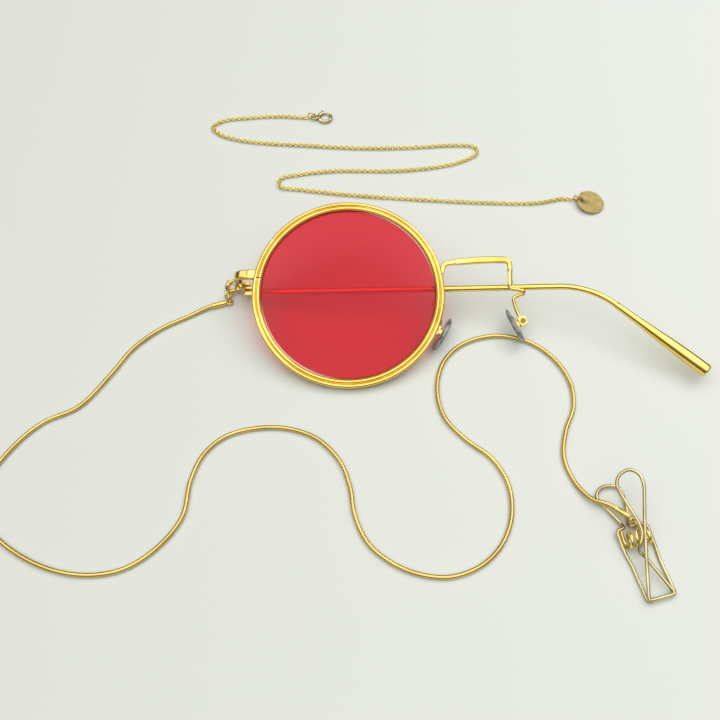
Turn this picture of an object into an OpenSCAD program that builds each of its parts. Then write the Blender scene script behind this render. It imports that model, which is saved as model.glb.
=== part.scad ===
// A single-lens folding monocle with one temple, a snake chain with a wire clip,
// and a spare link chain with a tag, laid out as they lie on a table.
// Millimetres, +Z up, the table is at z = 0.

/* [Rim and lens] */
// outer radius of the rim
rim_r = 25; // [24:0.25:26]
// radial width of the rim
rim_w = 2.2; // [2.0:0.1:2.4]
// half of the rim's base thickness
rim_half = 1.2; // [1.1:0.05:1.3]
// lens thickness at the middle
lens_t = 1.5; // [1.2:0.1:1.6]

/* [Temple] */
// thickness of the round temple bar
bar_d = 1.6; // [1.4:0.1:1.8]
// straight run of the bar from the hinge axis to the ear bend
straight_run = 84.4; // [80:0.4:88]
// angle of the ear bend
ear_angle = 39.5; // [30:0.5:45]
// straight run after the ear bend
tip_run = 28.4; // [26:0.2:30]
// largest thickness of the tip sleeve
sleeve_d = 3.1; // [2.8:0.1:3.4]

/* [Bridge] */
// height of the flat bridge bar
bridge_w = 1.75; // [1.5:0.05:1.95]
// depth of the bridge bar
bridge_deep = 1.35; // [1.1:0.05:1.5]

/* [Nose pads] */
// half length of a pad
pad_half_long = 5.2; // [4.8:0.1:5.4]
// half width of a pad
pad_half_wide = 2.4; // [2.1:0.1:2.5]
// thickness of a pad
pad_t = 1.2; // [1.0:0.1:1.3]
// thickness of the arm wire
arm_d = 0.95; // [0.8:0.05:1.0]

/* [Chains] */
// thickness of the snake chain
snake_d = 1.2; // [1.0:0.1:1.4]
// thickness of the fine link chain
fine_d = 1.3; // [1.1:0.1:1.4]
// thickness of the chain's end caps
cap_d = 1.5; // [1.4:0.1:1.6]

/* [Wire clip] */
// thickness of the clip's wire
wire_d = 0.85; // [0.75:0.05:0.85]
// length of the jaw from the coil axis
jaw_long = 14.1; // [13:0.2:15]
// half width of the jaw
jaw_half = 3.4; // [3.2:0.05:3.6]

/* [Tag] */
// diameter of the tag
tag_d = 8; // [7:0.25:8.5]
// thickness of the tag
tag_t = 0.6; // [0.5:0.05:0.8]

/* [Hidden] */
$fn = 48;

// brings the middle of the spectacle part's base box to the origin
origin_shift = [-0.097, -0.129, 0];

// the front leans back on the lower edge of its rim
tilt = 19.5;
edge_cut = 0.15;
aperture_r = rim_r - rim_w;
lens_height = (rim_r - edge_cut) * sin(tilt) + rim_half * cos(tilt);

// hinge axis between front and temple: world point, and height along the axis in the front's frame
hinge_at = [-59.83, 5.56, 3.47];
hinge_v = 3.2;
hinge_reach = 4.4;
hinge_deep = (lens_height + hinge_v * sin(tilt) - hinge_at.z) / cos(tilt);
lens_at = [hinge_at.x + rim_r + hinge_reach,
    hinge_at.y - hinge_v * cos(tilt) - hinge_deep * sin(tilt), lens_height];
hinge_x = -rim_r - hinge_reach;
// nose-side parts keep their place against the rim's right side
nose_dx = rim_r - 25;

// hinge barrel
knuckle_r = 1.1;
pin_r = 0.55;
knuckle_bore = 0.6;
stack_low = 3.0;
stack_high = 6.3;
mid_low = 4.1;
mid_high = 5.2;
play = 0.05;

// strap of the end piece, as heights along the hinge axis
lug_low = 3.8;
lug_high = 6.6;
lug_t = 1.2;
lug_round = 0.8;
lug_bend = 2.0;

// bridge and stub, as places in the front's plane before the nose side follows the rim
bridge_back = -0.3;
bridge_chamfer = 0.2;
left_foot = [24.2, 5.4];
left_corner = [24.9, 8.3];
left_cut = 1.3;
leg_w = 1.2;
overlap_x = 28;
overlap_y = 8.75;
overlap_long = 0.5;
notch_w = 0.2;
notch_deep = 0.15;
right_break = [34.41, 9.32];
right_corner = [42, 9.4];
right_cut = 1.9;
stub_x = 42.15;
stub_back = -0.35;
stub_top = 6.65;
collar_low = 6.0;
collar_r = 0.76;
stub_waist = 4.35;
stub_belly = 3.3;
stub_foot = 2.25;
neck_r = 0.62;
belly_r = 0.76;
foot_r = 0.55;

// closing joint of the rim
slot_angle = 10.2;
slot_w = 0.25;
block_long = 2.1;
block_deep = 2.1;
rim_screw_r = 0.45;

// temple
temple_v = 2.4;
over_fold = 4.2;
bar_r = bar_d / 2;
ear_r = 22.8;
block_start = 1.7;
block_end = 4.5;
bar_start = 2.2;
block_half = 0.95;
block_low = 1.4;
block_high = 4.0;
riser_end = 3.1;
root_r = 1.2;
taper_end = 60;
sleeve_taper = 20.5;
sleeve_open_d = 1.8;
core_run = tip_run - 4.4;
sleeve_round = 0.6;

// nose pads: centre in the front's frame, turn about the view axis
pad_right_at = [43.55, -7.6, -3.2];
pad_left_at = [24.4, -9.9, -3.2];
pad_right_turn = 27.2;
pad_left_turn = -31.3;
pad_splay = 15;
pad_pitch = 12;
box_out = 1.98;
box_up = 0.7;
box_half = [1.05, 1.2, 0.85];
box_wall = 0.35;
cheek = 0.45;
tab_r = 0.64;
screw_head_r = 0.75;
screw_head_t = 0.3;
box_screw_r = 0.35;
tab_half = 0.36;
insert_t = 0.35;

// spring-ring clasps
ring_r = 1.85;
ring_tube = 0.55;
ring_bore = 0.38;
bolt_r = 0.33;
gate_to = 95;
tube_sweep = 300;
bolt_from = 33;
bolt_to = 152;
nub_angle = 110;
bolt_travel = 40;
clasp_loop_r = 0.85;
clasp_loop_wire = 0.28;
clasp_loop_out = 3.25;
clasp_at = [hinge_at.x - 1.97, hinge_at.y + 3.34, 1.09];
clasp_lean = 16;
clasp_turn = 20;
clasp_base = 230;
spare_at = [-38.2, 73.5, ring_tube + 0.01];
spare_base = 181;
spare_turn = -1;
spare_lean = 2.8;

// links between clasps, caps and clip
link_r = 1.25;
link_wire = 0.28;
small_link_r = 1.05;
small_link_wire = 0.25;
cap_long = 3.7;
cap_grip = 1.5;
cap_ring_r = 0.75;
cap_ring_wire = 0.22;
cap_r = cap_d / 2;
snake_r = snake_d / 2;
fine_r = fine_d / 2;

// wire clip, in its own frame: coil axis along X, handles towards +Y
clip_at = [36.5, -63.8];
clip_turn = 15.3;
wire_r = wire_d / 2;
coil_r = 1.75;
coil_z = coil_r + wire_r + 0.01;
coil_outer = 2.8;
coil_inner = 0.7;
cross_y = 3.2;
cross_z = 1.55;
butt_gap = 0.15;
coil_side = coil_outer + wire_d + 0.1;
wire_cut = 0.85;
handle_cut = 1.4;

function unit(v) = v / norm(v);
function lean(p) = [p.x, p.y * cos(tilt) - p.z * sin(tilt), p.y * sin(tilt) + p.z * cos(tilt)];
// world point of a place given from the hinge axis in the front's directions
function by_hinge(p) = hinge_at + lean(p);

// world point of a place given in the temple's frame
function by_temple(p) = by_hinge([p.x * cos(over_fold) - p.z * sin(over_fold), p.y + temple_v - hinge_v,
    p.x * sin(over_fold) + p.z * cos(over_fold)]);

// rounds the corners of a route with short curves; cut is one length, or one for each point
function soften(p, cut, steps = 3) = [
    p[0],
    for (i = [1:len(p) - 2])
        let (
            back = p[i - 1] - p[i],
            ahead = p[i + 1] - p[i],
            c = is_list(cut) ? cut[i] : cut,
            a = p[i] + unit(back) * min(c, norm(back) * 0.49),
            b = p[i] + unit(ahead) * min(c, norm(ahead) * 0.49)
        )
        for (k = [0:steps])
            let (u = k / steps)
            (1 - u) * (1 - u) * a + 2 * u * (1 - u) * p[i] + u * u * b,
    p[len(p) - 1]
];

// carries the side direction along a route without twist
function carry(dirs, sides, i = 1) = i >= len(dirs) ? sides :
    carry(dirs, concat(sides, [unit(sides[i - 1] - (sides[i - 1] * dirs[i]) * dirs[i])]), i + 1);

// round wire or cord swept along a route; r is one radius, or one for each point
module tube(path, r, sides = 8) {
    count = len(path);
    radii = is_list(r) ? r : [for (p = path) r];
    dirs = [for (i = [0:count - 1])
        unit((i < count - 1 ? unit(path[i + 1] - path[i]) : [0, 0, 0])
            + (i > 0 ? unit(path[i] - path[i - 1]) : [0, 0, 0]))];
    first = abs(dirs[0].z) < 0.9 ? [0, 0, 1] : [1, 0, 0];
    side = carry(dirs, [unit(first - (first * dirs[0]) * dirs[0])]);
    points = [for (i = [0:count - 1]) for (k = [0:sides - 1])
        path[i] + radii[i] * (cos(360 * k / sides) * side[i]
            + sin(360 * k / sides) * cross(dirs[i], side[i]))];
    walls = [for (i = [0:count - 2]) for (k = [0:sides - 1])
        let (a = i * sides + k, b = i * sides + (k + 1) % sides)
        each [[a, a + sides, b + sides], [a, b + sides, b]]];
    ends = [[for (k = [0:sides - 1]) k],
        [for (k = [sides - 1:-1:0]) (count - 1) * sides + k]];
    polyhedron(points = points, faces = concat(ends, walls));
}

// plain ring of round wire
module wire_ring(r, wire) {
    rotate_extrude()
        translate([r, 0])
            circle(wire, $fn = 24);
}

module in_front() {
    translate(lens_at)
        rotate([tilt, 0, 0])
            children();
}

module at_nose() {
    in_front()
        translate([nose_dx, 0, 0])
            children();
}

module at_hinge() {
    in_front()
        translate([hinge_x, 0, -hinge_deep])
            children();
}

module in_temple() {
    at_hinge()
        translate([0, temple_v, 0])
            rotate([0, -over_fold, 0])
                children();
}

// bar of round section standing along the front's Y from one height to another
module along_v(low, high, r) {
    translate([0, low, 0])
        rotate([-90, 0, 0])
            cylinder(h = high - low, r = r);
}

// front: rim and lens

module rim_section() {
    bead = rim_w / 4;
    bead_z = rim_half - 0.68;
    difference() {
        union() {
            polygon([[aperture_r, -rim_half], [rim_r - edge_cut, -rim_half],
                [rim_r, -rim_half + edge_cut], [rim_r, bead_z], [aperture_r, bead_z]]);
            translate([rim_r - bead, bead_z])
                circle(bead, $fn = 32);
            translate([aperture_r + bead, bead_z + 0.05])
                circle(bead, $fn = 32);
        }
        polygon([[aperture_r - 0.1, 0.8], [aperture_r + 0.75, 0.1],
            [aperture_r + 0.75, -0.1], [aperture_r - 0.1, -0.8]]);
    }
}

module rim() {
    color([0.85, 0.68, 0.25])
        in_front()
            difference() {
                rotate_extrude($fn = 180)
                    rim_section();
                rotate([0, 0, -slot_angle])
                    translate([-rim_r - 1, -slot_w / 2, -rim_half - 1])
                        cube([rim_w + 2, slot_w, 2 * rim_half + 3]);
            }
}

module lens() {
    face_r = 600;
    body_r = aperture_r - 0.1;
    color([0.85, 0.1, 0.15, 0.6])
        in_front()
            rotate_extrude($fn = 180)
                intersection() {
                    translate([0, 0.2 + lens_t / 2 - face_r])
                        circle(face_r, $fn = 1440);
                    difference() {
                        polygon([[0, -3], [body_r, -3], [body_r, -0.6], [aperture_r + 0.6, 0],
                            [body_r, 0.5], [body_r, 3], [0, 3]]);
                        translate([0, 0.2 - lens_t / 2 - face_r])
                            circle(face_r, $fn = 1440);
                    }
                }
}

// front: closing joint behind the rim

module block_blank(low, high) {
    intersection() {
        translate([-rim_r - 1, low, -rim_half - block_deep])
            cube([rim_w + 1, high - low, block_deep]);
        difference() {
            translate([0, 0, -rim_half - block_deep])
                cylinder(h = block_deep, r = rim_r - edge_cut, $fn = 180);
            translate([0, 0, -rim_half - block_deep - 1])
                cylinder(h = block_deep + 2, r = aperture_r + 0.1, $fn = 180);
        }
    }
}

module closing_block() {
    color([0.85, 0.68, 0.25])
        in_front()
            rotate([0, 0, -slot_angle])
                difference() {
                    union() {
                        block_blank(slot_w / 2, block_long);
                        block_blank(-block_long, -slot_w / 2);
                    }
                    translate([-rim_r + rim_w / 2, 0, -rim_half - block_deep / 2])
                        along_v(-block_long - 1, block_long + 1, rim_screw_r + 0.02);
                }
}

module rim_screw() {
    color([0.8, 0.65, 0.3])
        in_front()
            rotate([0, 0, -slot_angle])
                translate([-rim_r + rim_w / 2, 0, -rim_half - block_deep / 2])
                    difference() {
                        union() {
                            along_v(-block_long, block_long, rim_screw_r);
                            along_v(block_long, block_long + 0.4, 0.8);
                        }
                        translate([-1, block_long + 0.2, -0.12])
                            cube([2, 0.4, 0.24]);
                    }
}

// front: end piece and hinge

module strap_section() {
    reach = hinge_reach - lug_bend;
    top = lug_t / 2;
    difference() {
        union() {
            translate([-reach, -top])
                square([reach + 1, lug_t]);
            translate([-reach + 1.1, -top])
                square([reach, lug_t + 0.12]);
            translate([-reach, -lug_bend])
                difference() {
                    circle(lug_bend + top, $fn = 96);
                    circle(lug_bend - top, $fn = 96);
                    translate([0, -5])
                        square([5, 10]);
                    translate([-5, -5])
                        square([10, 5]);
                }
            translate([-hinge_reach - top, -hinge_deep + knuckle_r + play])
                square([lug_t, hinge_deep - lug_bend - knuckle_r - play + 0.001]);
        }
        translate([-reach + 0.85, top - 0.22])
            square([0.28, 1]);
    }
}

// plan of the strap, with round corners at its hinge end
module strap_plan() {
    left = -rim_r - hinge_reach - lug_t / 2;
    translate([left + lug_round, lug_low])
        square([hinge_reach + lug_t + 2, lug_high - lug_low]);
    translate([left, lug_low + lug_round])
        square([lug_round, lug_high - lug_low - 2 * lug_round]);
    for (y = [lug_low + lug_round, lug_high - lug_round])
        translate([left + lug_round, y])
            circle(lug_round);
}

module end_piece() {
    color([0.85, 0.68, 0.25])
        in_front()
            difference() {
                intersection() {
                    translate([-rim_r, lug_high, 0])
                        rotate([90, 0, 0])
                            linear_extrude(lug_high - lug_low)
                                strap_section();
                    translate([0, 0, -hinge_deep])
                        linear_extrude(hinge_deep + 2 * lug_t)
                            strap_plan();
                }
                translate([0, 0, -5])
                    cylinder(h = 10, r = rim_r, $fn = 180);
                translate([-rim_r - 0.3, lug_low - 1, -5])
                    cube([3, 1.95, 10]);
            }
}

module front_hinge() {
    leaf_x = lug_t / 2;
    leaf_t = 0.7;
    color([0.85, 0.68, 0.25])
        at_hinge()
            difference() {
                union() {
                    translate([leaf_x, stack_low, knuckle_r + 0.15])
                        cube([leaf_t, lug_high - 0.2 - stack_low, 2.6]);
                    for (span = [[stack_low, mid_low], [mid_high, stack_high]]) {
                        translate([leaf_x, span[0], 0])
                            cube([leaf_t, span[1] - span[0], knuckle_r + 0.2]);
                        along_v(span[0], span[1], knuckle_r);
                    }
                }
                along_v(stack_low - 1, stack_high + 1, pin_r + 0.01);
            }
}

module hinge_screw() {
    color([0.8, 0.65, 0.3])
        at_hinge()
            difference() {
                union() {
                    along_v(stack_low, stack_high, pin_r);
                    along_v(stack_high, stack_high + 0.4, 0.95);
                }
                translate([-1.5, stack_high + 0.2, -0.13])
                    cube([3, 0.4, 0.26]);
            }
}

// front: bridge

// flat outline of a bar of even width along a route in the plane
function side_of(p, i) = let (
        a = i > 0 ? unit(p[i] - p[i - 1]) : unit(p[1] - p[0]),
        b = i < len(p) - 1 ? unit(p[i + 1] - p[i]) : a,
        m = unit(a + b)
    ) [-m.y, m.x] / max(0.5, m * a);

module bar_outline(p, w, w_end) {
    n = len(p);
    // the width changes over the second half of the route
    function half(i) = (w + (w_end - w) * max(0, (2 * i - n + 1) / (n - 1))) / 2;
    polygon(concat(
        [for (i = [0:n - 1]) p[i] + side_of(p, i) * half(i)],
        [for (i = [n - 1:-1:0]) p[i] - side_of(p, i) * half(i)]));
}

bridge_left = soften([left_foot, left_corner, [overlap_x, overlap_y],
    [overlap_x + overlap_long, overlap_y + overlap_long / 10]], left_cut, 4);
bridge_right = soften([[overlap_x, overlap_y], right_break, right_corner, [stub_x, stub_top]],
    right_cut, 4);

module bridge_outline(trim) {
    bar_outline(bridge_left, bridge_w - 0.4 - trim, bridge_w - 0.4 - trim);
    bar_outline(bridge_right, bridge_w - trim, leg_w - trim);
}

module bridge() {
    color([0.88, 0.7, 0.25])
        at_nose()
            translate([0, 0, bridge_back])
                difference() {
                    union() {
                        translate([0, 0, -bridge_deep / 2])
                            linear_extrude(bridge_deep)
                                bridge_outline(2 * bridge_chamfer);
                        translate([0, 0, -bridge_deep / 2 + bridge_chamfer])
                            linear_extrude(bridge_deep - 2 * bridge_chamfer)
                                bridge_outline(0);
                    }
                    translate([-nose_dx, 0, -bridge_deep])
                        cylinder(h = 2 * bridge_deep, r = rim_r, $fn = 180);
                    translate([overlap_x - notch_w / 2, overlap_y - bridge_w, bridge_deep / 2 - notch_deep])
                        cube([notch_w, 2 * bridge_w, bridge_deep]);
                    translate([stub_x - bridge_w, stub_top - bridge_w, -bridge_deep])
                        cube([2 * bridge_w, bridge_w, 2 * bridge_deep]);
                }
}

module rim_stub() {
    color([0.9, 0.75, 0.35])
        at_nose()
            translate([stub_x, 0, stub_back]) {
                along_v(collar_low, stub_top, collar_r);
                rotate([-90, 0, 0]) {
                    translate([0, 0, stub_waist])
                        cylinder(h = collar_low - stub_waist, r1 = neck_r, r2 = belly_r, $fn = 8);
                    translate([0, 0, stub_belly])
                        cylinder(h = stub_waist - stub_belly, r1 = belly_r, r2 = neck_r, $fn = 8);
                    translate([0, 0, stub_foot])
                        cylinder(h = stub_belly - stub_foot, r1 = foot_r, r2 = belly_r, $fn = 8);
                }
            }
}

// front: pad arms, boxes, pads

// a point given in a pad's own box directions: out from the nose, along the pad, towards the viewer
function pad_point(at, turn, hand, out, down, up) =
    at + [hand * (out * cos(abs(turn)) + down * sin(abs(turn))),
        out * sin(abs(turn)) - down * cos(abs(turn)), up];

function box_right(down) = pad_point(pad_right_at, pad_right_turn, 1, box_out, down, box_up);
function box_left(down) = pad_point(pad_left_at, pad_left_turn, -1, box_out, down, box_up);

module pad_arm_right() {
    color([0.85, 0.68, 0.25])
        at_nose()
            tube(soften([[stub_x, stub_foot, stub_back], [42.2, 1.55, -0.4], [44.0, 1.35, -0.5],
                [45.7, 1.0, -0.7], [45.8, 0.45, -1.3], [44.2, 0.1, -1.6], [42.95, -0.5, -1.8],
                [43.35, -2.3, -2.2], box_right(-2.6), box_right(-box_half.y)], 0.45),
                arm_d / 2, 10);
}

module pad_arm_left() {
    color([0.85, 0.68, 0.25])
        at_nose()
            tube(soften([[23.95, -1.1, -rim_half], [23.95, -1.1, -2.2], [22.5, -1.3, -2.4],
                [22.2, -2.4, -2.3], [23.3, -4.3, -2.4], box_left(-2.6), box_left(-box_half.y)], 0.5),
                arm_d / 2, 10);
}

// box directions: X out from the nose, Y up along the pad, Z towards the viewer
module in_box(at, turn, hand) {
    at_nose()
        translate(at)
            mirror([hand < 0 ? 1 : 0, 0, 0])
                rotate([0, 0, abs(turn)])
                    translate([box_out, 0, box_up])
                        children();
}

module in_pad(at, turn, hand) {
    at_nose()
        translate(at)
            mirror([hand < 0 ? 1 : 0, 0, 0])
                rotate([0, 0, abs(turn)])
                    rotate([0, -pad_splay, 0])
                        rotate([-pad_pitch, 0, 0])
                            children();
}

module pad_box() {
    difference() {
        translate([-box_half.x, -box_half.y, -box_half.z])
            cube(2 * box_half);
        translate([-box_half.x - 1, -box_half.y + box_wall, -box_half.z + cheek])
            cube([2 * box_half.x + 1 - box_wall, 2 * (box_half.y - box_wall), 2 * box_half.z - 2 * cheek]);
        translate([0, 0, -2 * box_half.z])
            cylinder(h = 4 * box_half.z, r = box_screw_r + 0.01, $fn = 32);
    }
}

module pad_box_right() {
    color([0.9, 0.75, 0.35])
        in_box(pad_right_at, pad_right_turn, 1)
            pad_box();
}

module pad_box_left() {
    color([0.9, 0.75, 0.35])
        in_box(pad_left_at, pad_left_turn, -1)
            pad_box();
}

module pad_screw() {
    difference() {
        union() {
            translate([0, 0, -box_half.z])
                cylinder(h = 2 * box_half.z, r = box_screw_r, $fn = 32);
            translate([0, 0, box_half.z])
                cylinder(h = screw_head_t, r = screw_head_r, $fn = 32);
        }
        translate([-screw_head_r - 0.1, -0.1, box_half.z + screw_head_t - 0.18])
            cube([2 * screw_head_r + 0.2, 0.2, 1]);
    }
}

module pad_screws() {
    color([0.8, 0.65, 0.3]) {
        in_box(pad_right_at, pad_right_turn, 1)
            pad_screw();
        in_box(pad_left_at, pad_left_turn, -1)
            pad_screw();
    }
}

// disc with a round edge, standing on its rim in the pad's plane
module pad_disc(r) {
    edge = pad_t / 2;
    rotate([0, 90, 0])
        rotate_extrude($fn = 32) {
            translate([r - edge, 0])
                intersection() {
                    circle(edge, $fn = 16);
                    translate([0, -edge])
                        square([edge, 2 * edge]);
                }
            translate([0, -edge])
                square([r - edge, 2 * edge]);
        }
}

// oval plate set into the pad's outer face
module insert_plate(grow) {
    rotate([0, 90, 0])
        hull() {
            for (y = [-1.3, 1.3])
                translate([0, y, 0])
                    cylinder(h = insert_t + 1, r = 1.1 + grow, $fn = 32);
        }
}

module nose_pad() {
    narrow = pad_half_wide * 0.8;
    difference() {
        hull() {
            translate([0, pad_half_long - narrow, 0])
                pad_disc(narrow);
            translate([0, -pad_half_long + pad_half_wide, 0])
                pad_disc(pad_half_wide);
        }
        translate([pad_t / 2 - insert_t, 0, 0])
            insert_plate(0.02);
    }
}

module nose_pad_right() {
    color([0.7, 0.72, 0.7])
        in_pad(pad_right_at, pad_right_turn, 1)
            nose_pad();
}

module nose_pad_left() {
    color([0.7, 0.72, 0.7])
        in_pad(pad_left_at, pad_left_turn, -1)
            nose_pad();
}

// plate and the eye that the box screw passes through
module pad_insert(at, turn, hand) {
    difference() {
        union() {
            in_pad(at, turn, hand)
                intersection() {
                    translate([pad_t / 2 - insert_t, 0, 0])
                        insert_plate(0);
                    translate([0, -3, -3])
                        cube([pad_t / 2, 6, 6]);
                }
            in_box(at, turn, hand) {
                translate([0, 0, -tab_half])
                    cylinder(h = 2 * tab_half, r = tab_r, $fn = 32);
                translate([-box_out + 0.25, -tab_r + 0.12, -tab_half])
                    cube([box_out - 0.25, 2 * tab_r - 0.24, 2 * tab_half]);
            }
        }
        in_box(at, turn, hand)
            translate([0, 0, -2])
                cylinder(h = 4, r = box_screw_r + play, $fn = 32);
    }
}

module pad_insert_right() {
    color([0.85, 0.72, 0.4])
        pad_insert(pad_right_at, pad_right_turn, 1);
}

module pad_insert_left() {
    color([0.85, 0.72, 0.4])
        pad_insert(pad_left_at, pad_left_turn, -1);
}

// temple

module temple_hinge() {
    low = mid_low - temple_v + play;
    high = mid_high - temple_v - play;
    color([0.85, 0.68, 0.25])
        in_temple()
            difference() {
                union() {
                    along_v(low, high, knuckle_r);
                    translate([0, low, -knuckle_r])
                        cube([block_start + 0.5, high - low, knuckle_r + 0.8]);
                    translate([block_start, block_low - temple_v, -block_half])
                        cube([block_end - block_start, block_high - block_low, 2 * block_half]);
                    translate([block_start, block_high - temple_v - 0.1, -block_half])
                        cube([riser_end - block_start, high + temple_v - block_high + 0.1, 2 * block_half]);
                }
                along_v(low - 1, high + 1, knuckle_bore);
                translate([bar_start, 0, 0])
                    rotate([0, 90, 0])
                        cylinder(h = 5, r = bar_r + 0.01);
            }
}

// places children at the start of the straight run after the ear bend
module past_bend() {
    translate([straight_run, -ear_r, 0])
        rotate([0, 0, -ear_angle])
            translate([0, ear_r, 0])
                children();
}

bend_steps = 10;
bar_front = [[bar_start, 0, 0], [block_end, 0, 0], [block_end + 1.2, 0, 0], [taper_end / 2, 0, 0],
    [taper_end, 0, 0]];
bar_route = concat(
    bar_front,
    [for (k = [0:bend_steps])
        let (a = ear_angle * k / bend_steps)
        [straight_run + ear_r * sin(a), -ear_r * (1 - cos(a)), 0]],
    [[straight_run + ear_r * sin(ear_angle) + core_run * cos(ear_angle),
        -ear_r * (1 - cos(ear_angle)) - core_run * sin(ear_angle), 0]]);

// the bar is thickest just past the hinge block and tapers to its round gauge
bar_radii = [for (i = [0:len(bar_route) - 1]) i == 2 ? root_r : i == 3 ? (root_r + bar_r) / 2 : bar_r];

module temple_bar() {
    color([0.85, 0.68, 0.25])
        in_temple()
            tube(bar_route, bar_radii, 24);
}

module temple_sleeve() {
    big = sleeve_d / 2;
    color([0.85, 0.68, 0.25])
        in_temple()
            past_bend()
                rotate([0, 90, 0])
                    rotate_extrude()
                        difference() {
                            union() {
                                polygon([[0, 0], [sleeve_open_d / 2, 0],
                                    [big - 0.05, sleeve_taper], [0, sleeve_taper]]);
                                translate([0, sleeve_taper])
                                    square([big, tip_run - sleeve_taper - sleeve_round]);
                                translate([0, tip_run - sleeve_round])
                                    square([big - sleeve_round, sleeve_round]);
                                translate([big - sleeve_round, tip_run - sleeve_round])
                                    circle(sleeve_round, $fn = 32);
                            }
                            translate([0, -1])
                                square([bar_r + 0.01, core_run + 1]);
                            translate([-5, -1])
                                square([5, tip_run + 2]);
                        }
}

// eyelet, clasp and upper links

eyelet_at = hinge_at + [-0.19, 2.83, -1.87];
eyelet_r = 0.95;
eyelet_wire = 0.28;

module chain_eyelet() {
    foot_x = riser_end - 0.5;
    foot_y = (block_high + mid_high) / 2 - temple_v;
    foot = by_temple([foot_x, foot_y, -block_half]);
    knee = by_temple([foot_x, foot_y, -block_half - 0.9]);
    lobe = eyelet_at + (eyelet_r + 0.02) * [cos(clasp_lean), -sin(clasp_lean), 0];
    color([0.85, 0.68, 0.25])
        union() {
            tube(soften([foot, knee, lobe], 0.5), 0.33, 10);
            translate(eyelet_at)
                rotate([-90, 0, -clasp_lean])
                    wire_ring(eyelet_r, eyelet_wire);
        }
}

// tube of a spring-ring clasp with its fixed base loop
module clasp_tube(base) {
    difference() {
        union() {
            rotate([0, 0, gate_to])
                rotate_extrude(angle = tube_sweep)
                    translate([ring_r, 0])
                        circle(ring_tube, $fn = 32);
            rotate([0, 0, base])
                translate([clasp_loop_out, 0, 0])
                    wire_ring(clasp_loop_r, clasp_loop_wire);
        }
        rotate([0, 0, gate_to - 4])
            rotate_extrude(angle = tube_sweep + 8)
                translate([ring_r, 0])
                    circle(ring_bore, $fn = 32);
        rotate([0, 0, nub_angle - 6])
            rotate_extrude(angle = bolt_travel + 12)
                translate([ring_r, -0.28])
                    square([1, 0.56]);
    }
}

module clasp_slider() {
    rotate([0, 0, bolt_from])
        rotate_extrude(angle = bolt_to - bolt_from)
            translate([ring_r, 0])
                circle(bolt_r, $fn = 24);
    rotate([0, 0, nub_angle])
        translate([ring_r, 0, 0])
            rotate([0, 90, 0]) {
                cylinder(h = 0.95, r = 0.2, $fn = 24);
                translate([0, 0, 0.95])
                    sphere(0.27, $fn = 24);
            }
}

module at_clasp() {
    translate(clasp_at)
        rotate(a = -clasp_lean, v = [sin(clasp_lean), cos(clasp_lean), 0])
            rotate([0, 0, clasp_turn])
                children();
}

module at_spare() {
    translate(spare_at + [0, 0, ring_r * sin(spare_lean)])
        rotate([0, spare_lean, spare_turn])
            children();
}

module clasp_ring() {
    color([0.85, 0.68, 0.25])
        at_clasp()
            clasp_tube(clasp_base);
}

module clasp_bolt() {
    color([0.8, 0.65, 0.3])
        at_clasp()
            clasp_slider();
}

// hole of the clasp's base loop, and the way the hardware hangs from it
clasp_hole = clasp_at + [clasp_loop_out * cos(clasp_turn + clasp_base),
    clasp_loop_out * sin(clasp_turn + clasp_base), 0];
hang = [cos(-77), sin(-77), 0];
link_at = [clasp_hole.x, clasp_hole.y, 0] + 1.25 * hang + [0, 0, link_r + link_wire + 0.01];
cap_top_at = [link_at.x, link_at.y, 0] + 0.93 * hang + [0, 0, cap_r + 0.09];
cap_top_turn = 197.5;
function ahead_of(a) = [cos(a), sin(a), 0];

// cylinder cap that grips a chain's end, with an end ring; it points away from the ring
module chain_cap() {
    wire_ring(cap_ring_r, cap_ring_wire);
    translate([cap_ring_r, 0, 0])
        rotate([0, 90, 0])
            difference() {
                translate([0, 0, 0.1])
                    cylinder(h = cap_long + 0.3, r = cap_r, $fn = 32);
                translate([0, 0, 0.4 + cap_long - cap_grip])
                    cylinder(h = 3, r = snake_r + 0.02, $fn = 32);
            }
}

module clasp_link() {
    color([0.85, 0.68, 0.25])
        translate(link_at)
            rotate([90, 0, -77])
                wire_ring(link_r, link_wire);
}

module snake_cap_top() {
    color([0.85, 0.68, 0.25])
        translate(cap_top_at)
            rotate([0, 0, cap_top_turn])
                chain_cap();
}

// snake chain

cap_inner = cap_ring_r + 0.4 + cap_long - cap_grip;
snake_start = cap_top_at + cap_inner * ahead_of(cap_top_turn);
snake_leave = cap_top_at + (cap_inner + 2.2) * ahead_of(cap_top_turn);

cap_clip_turn = 144.5;
cap_clip_at = [clip_at.x, clip_at.y, 0]
    + [1.0 * cos(clip_turn) - 4.73 * sin(clip_turn), 1.0 * sin(clip_turn) + 4.73 * cos(clip_turn), 1.72];
snake_end = cap_clip_at + cap_inner * ahead_of(cap_clip_turn);
snake_arrive = cap_clip_at + (cap_inner + 2.2) * ahead_of(cap_clip_turn);

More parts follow.
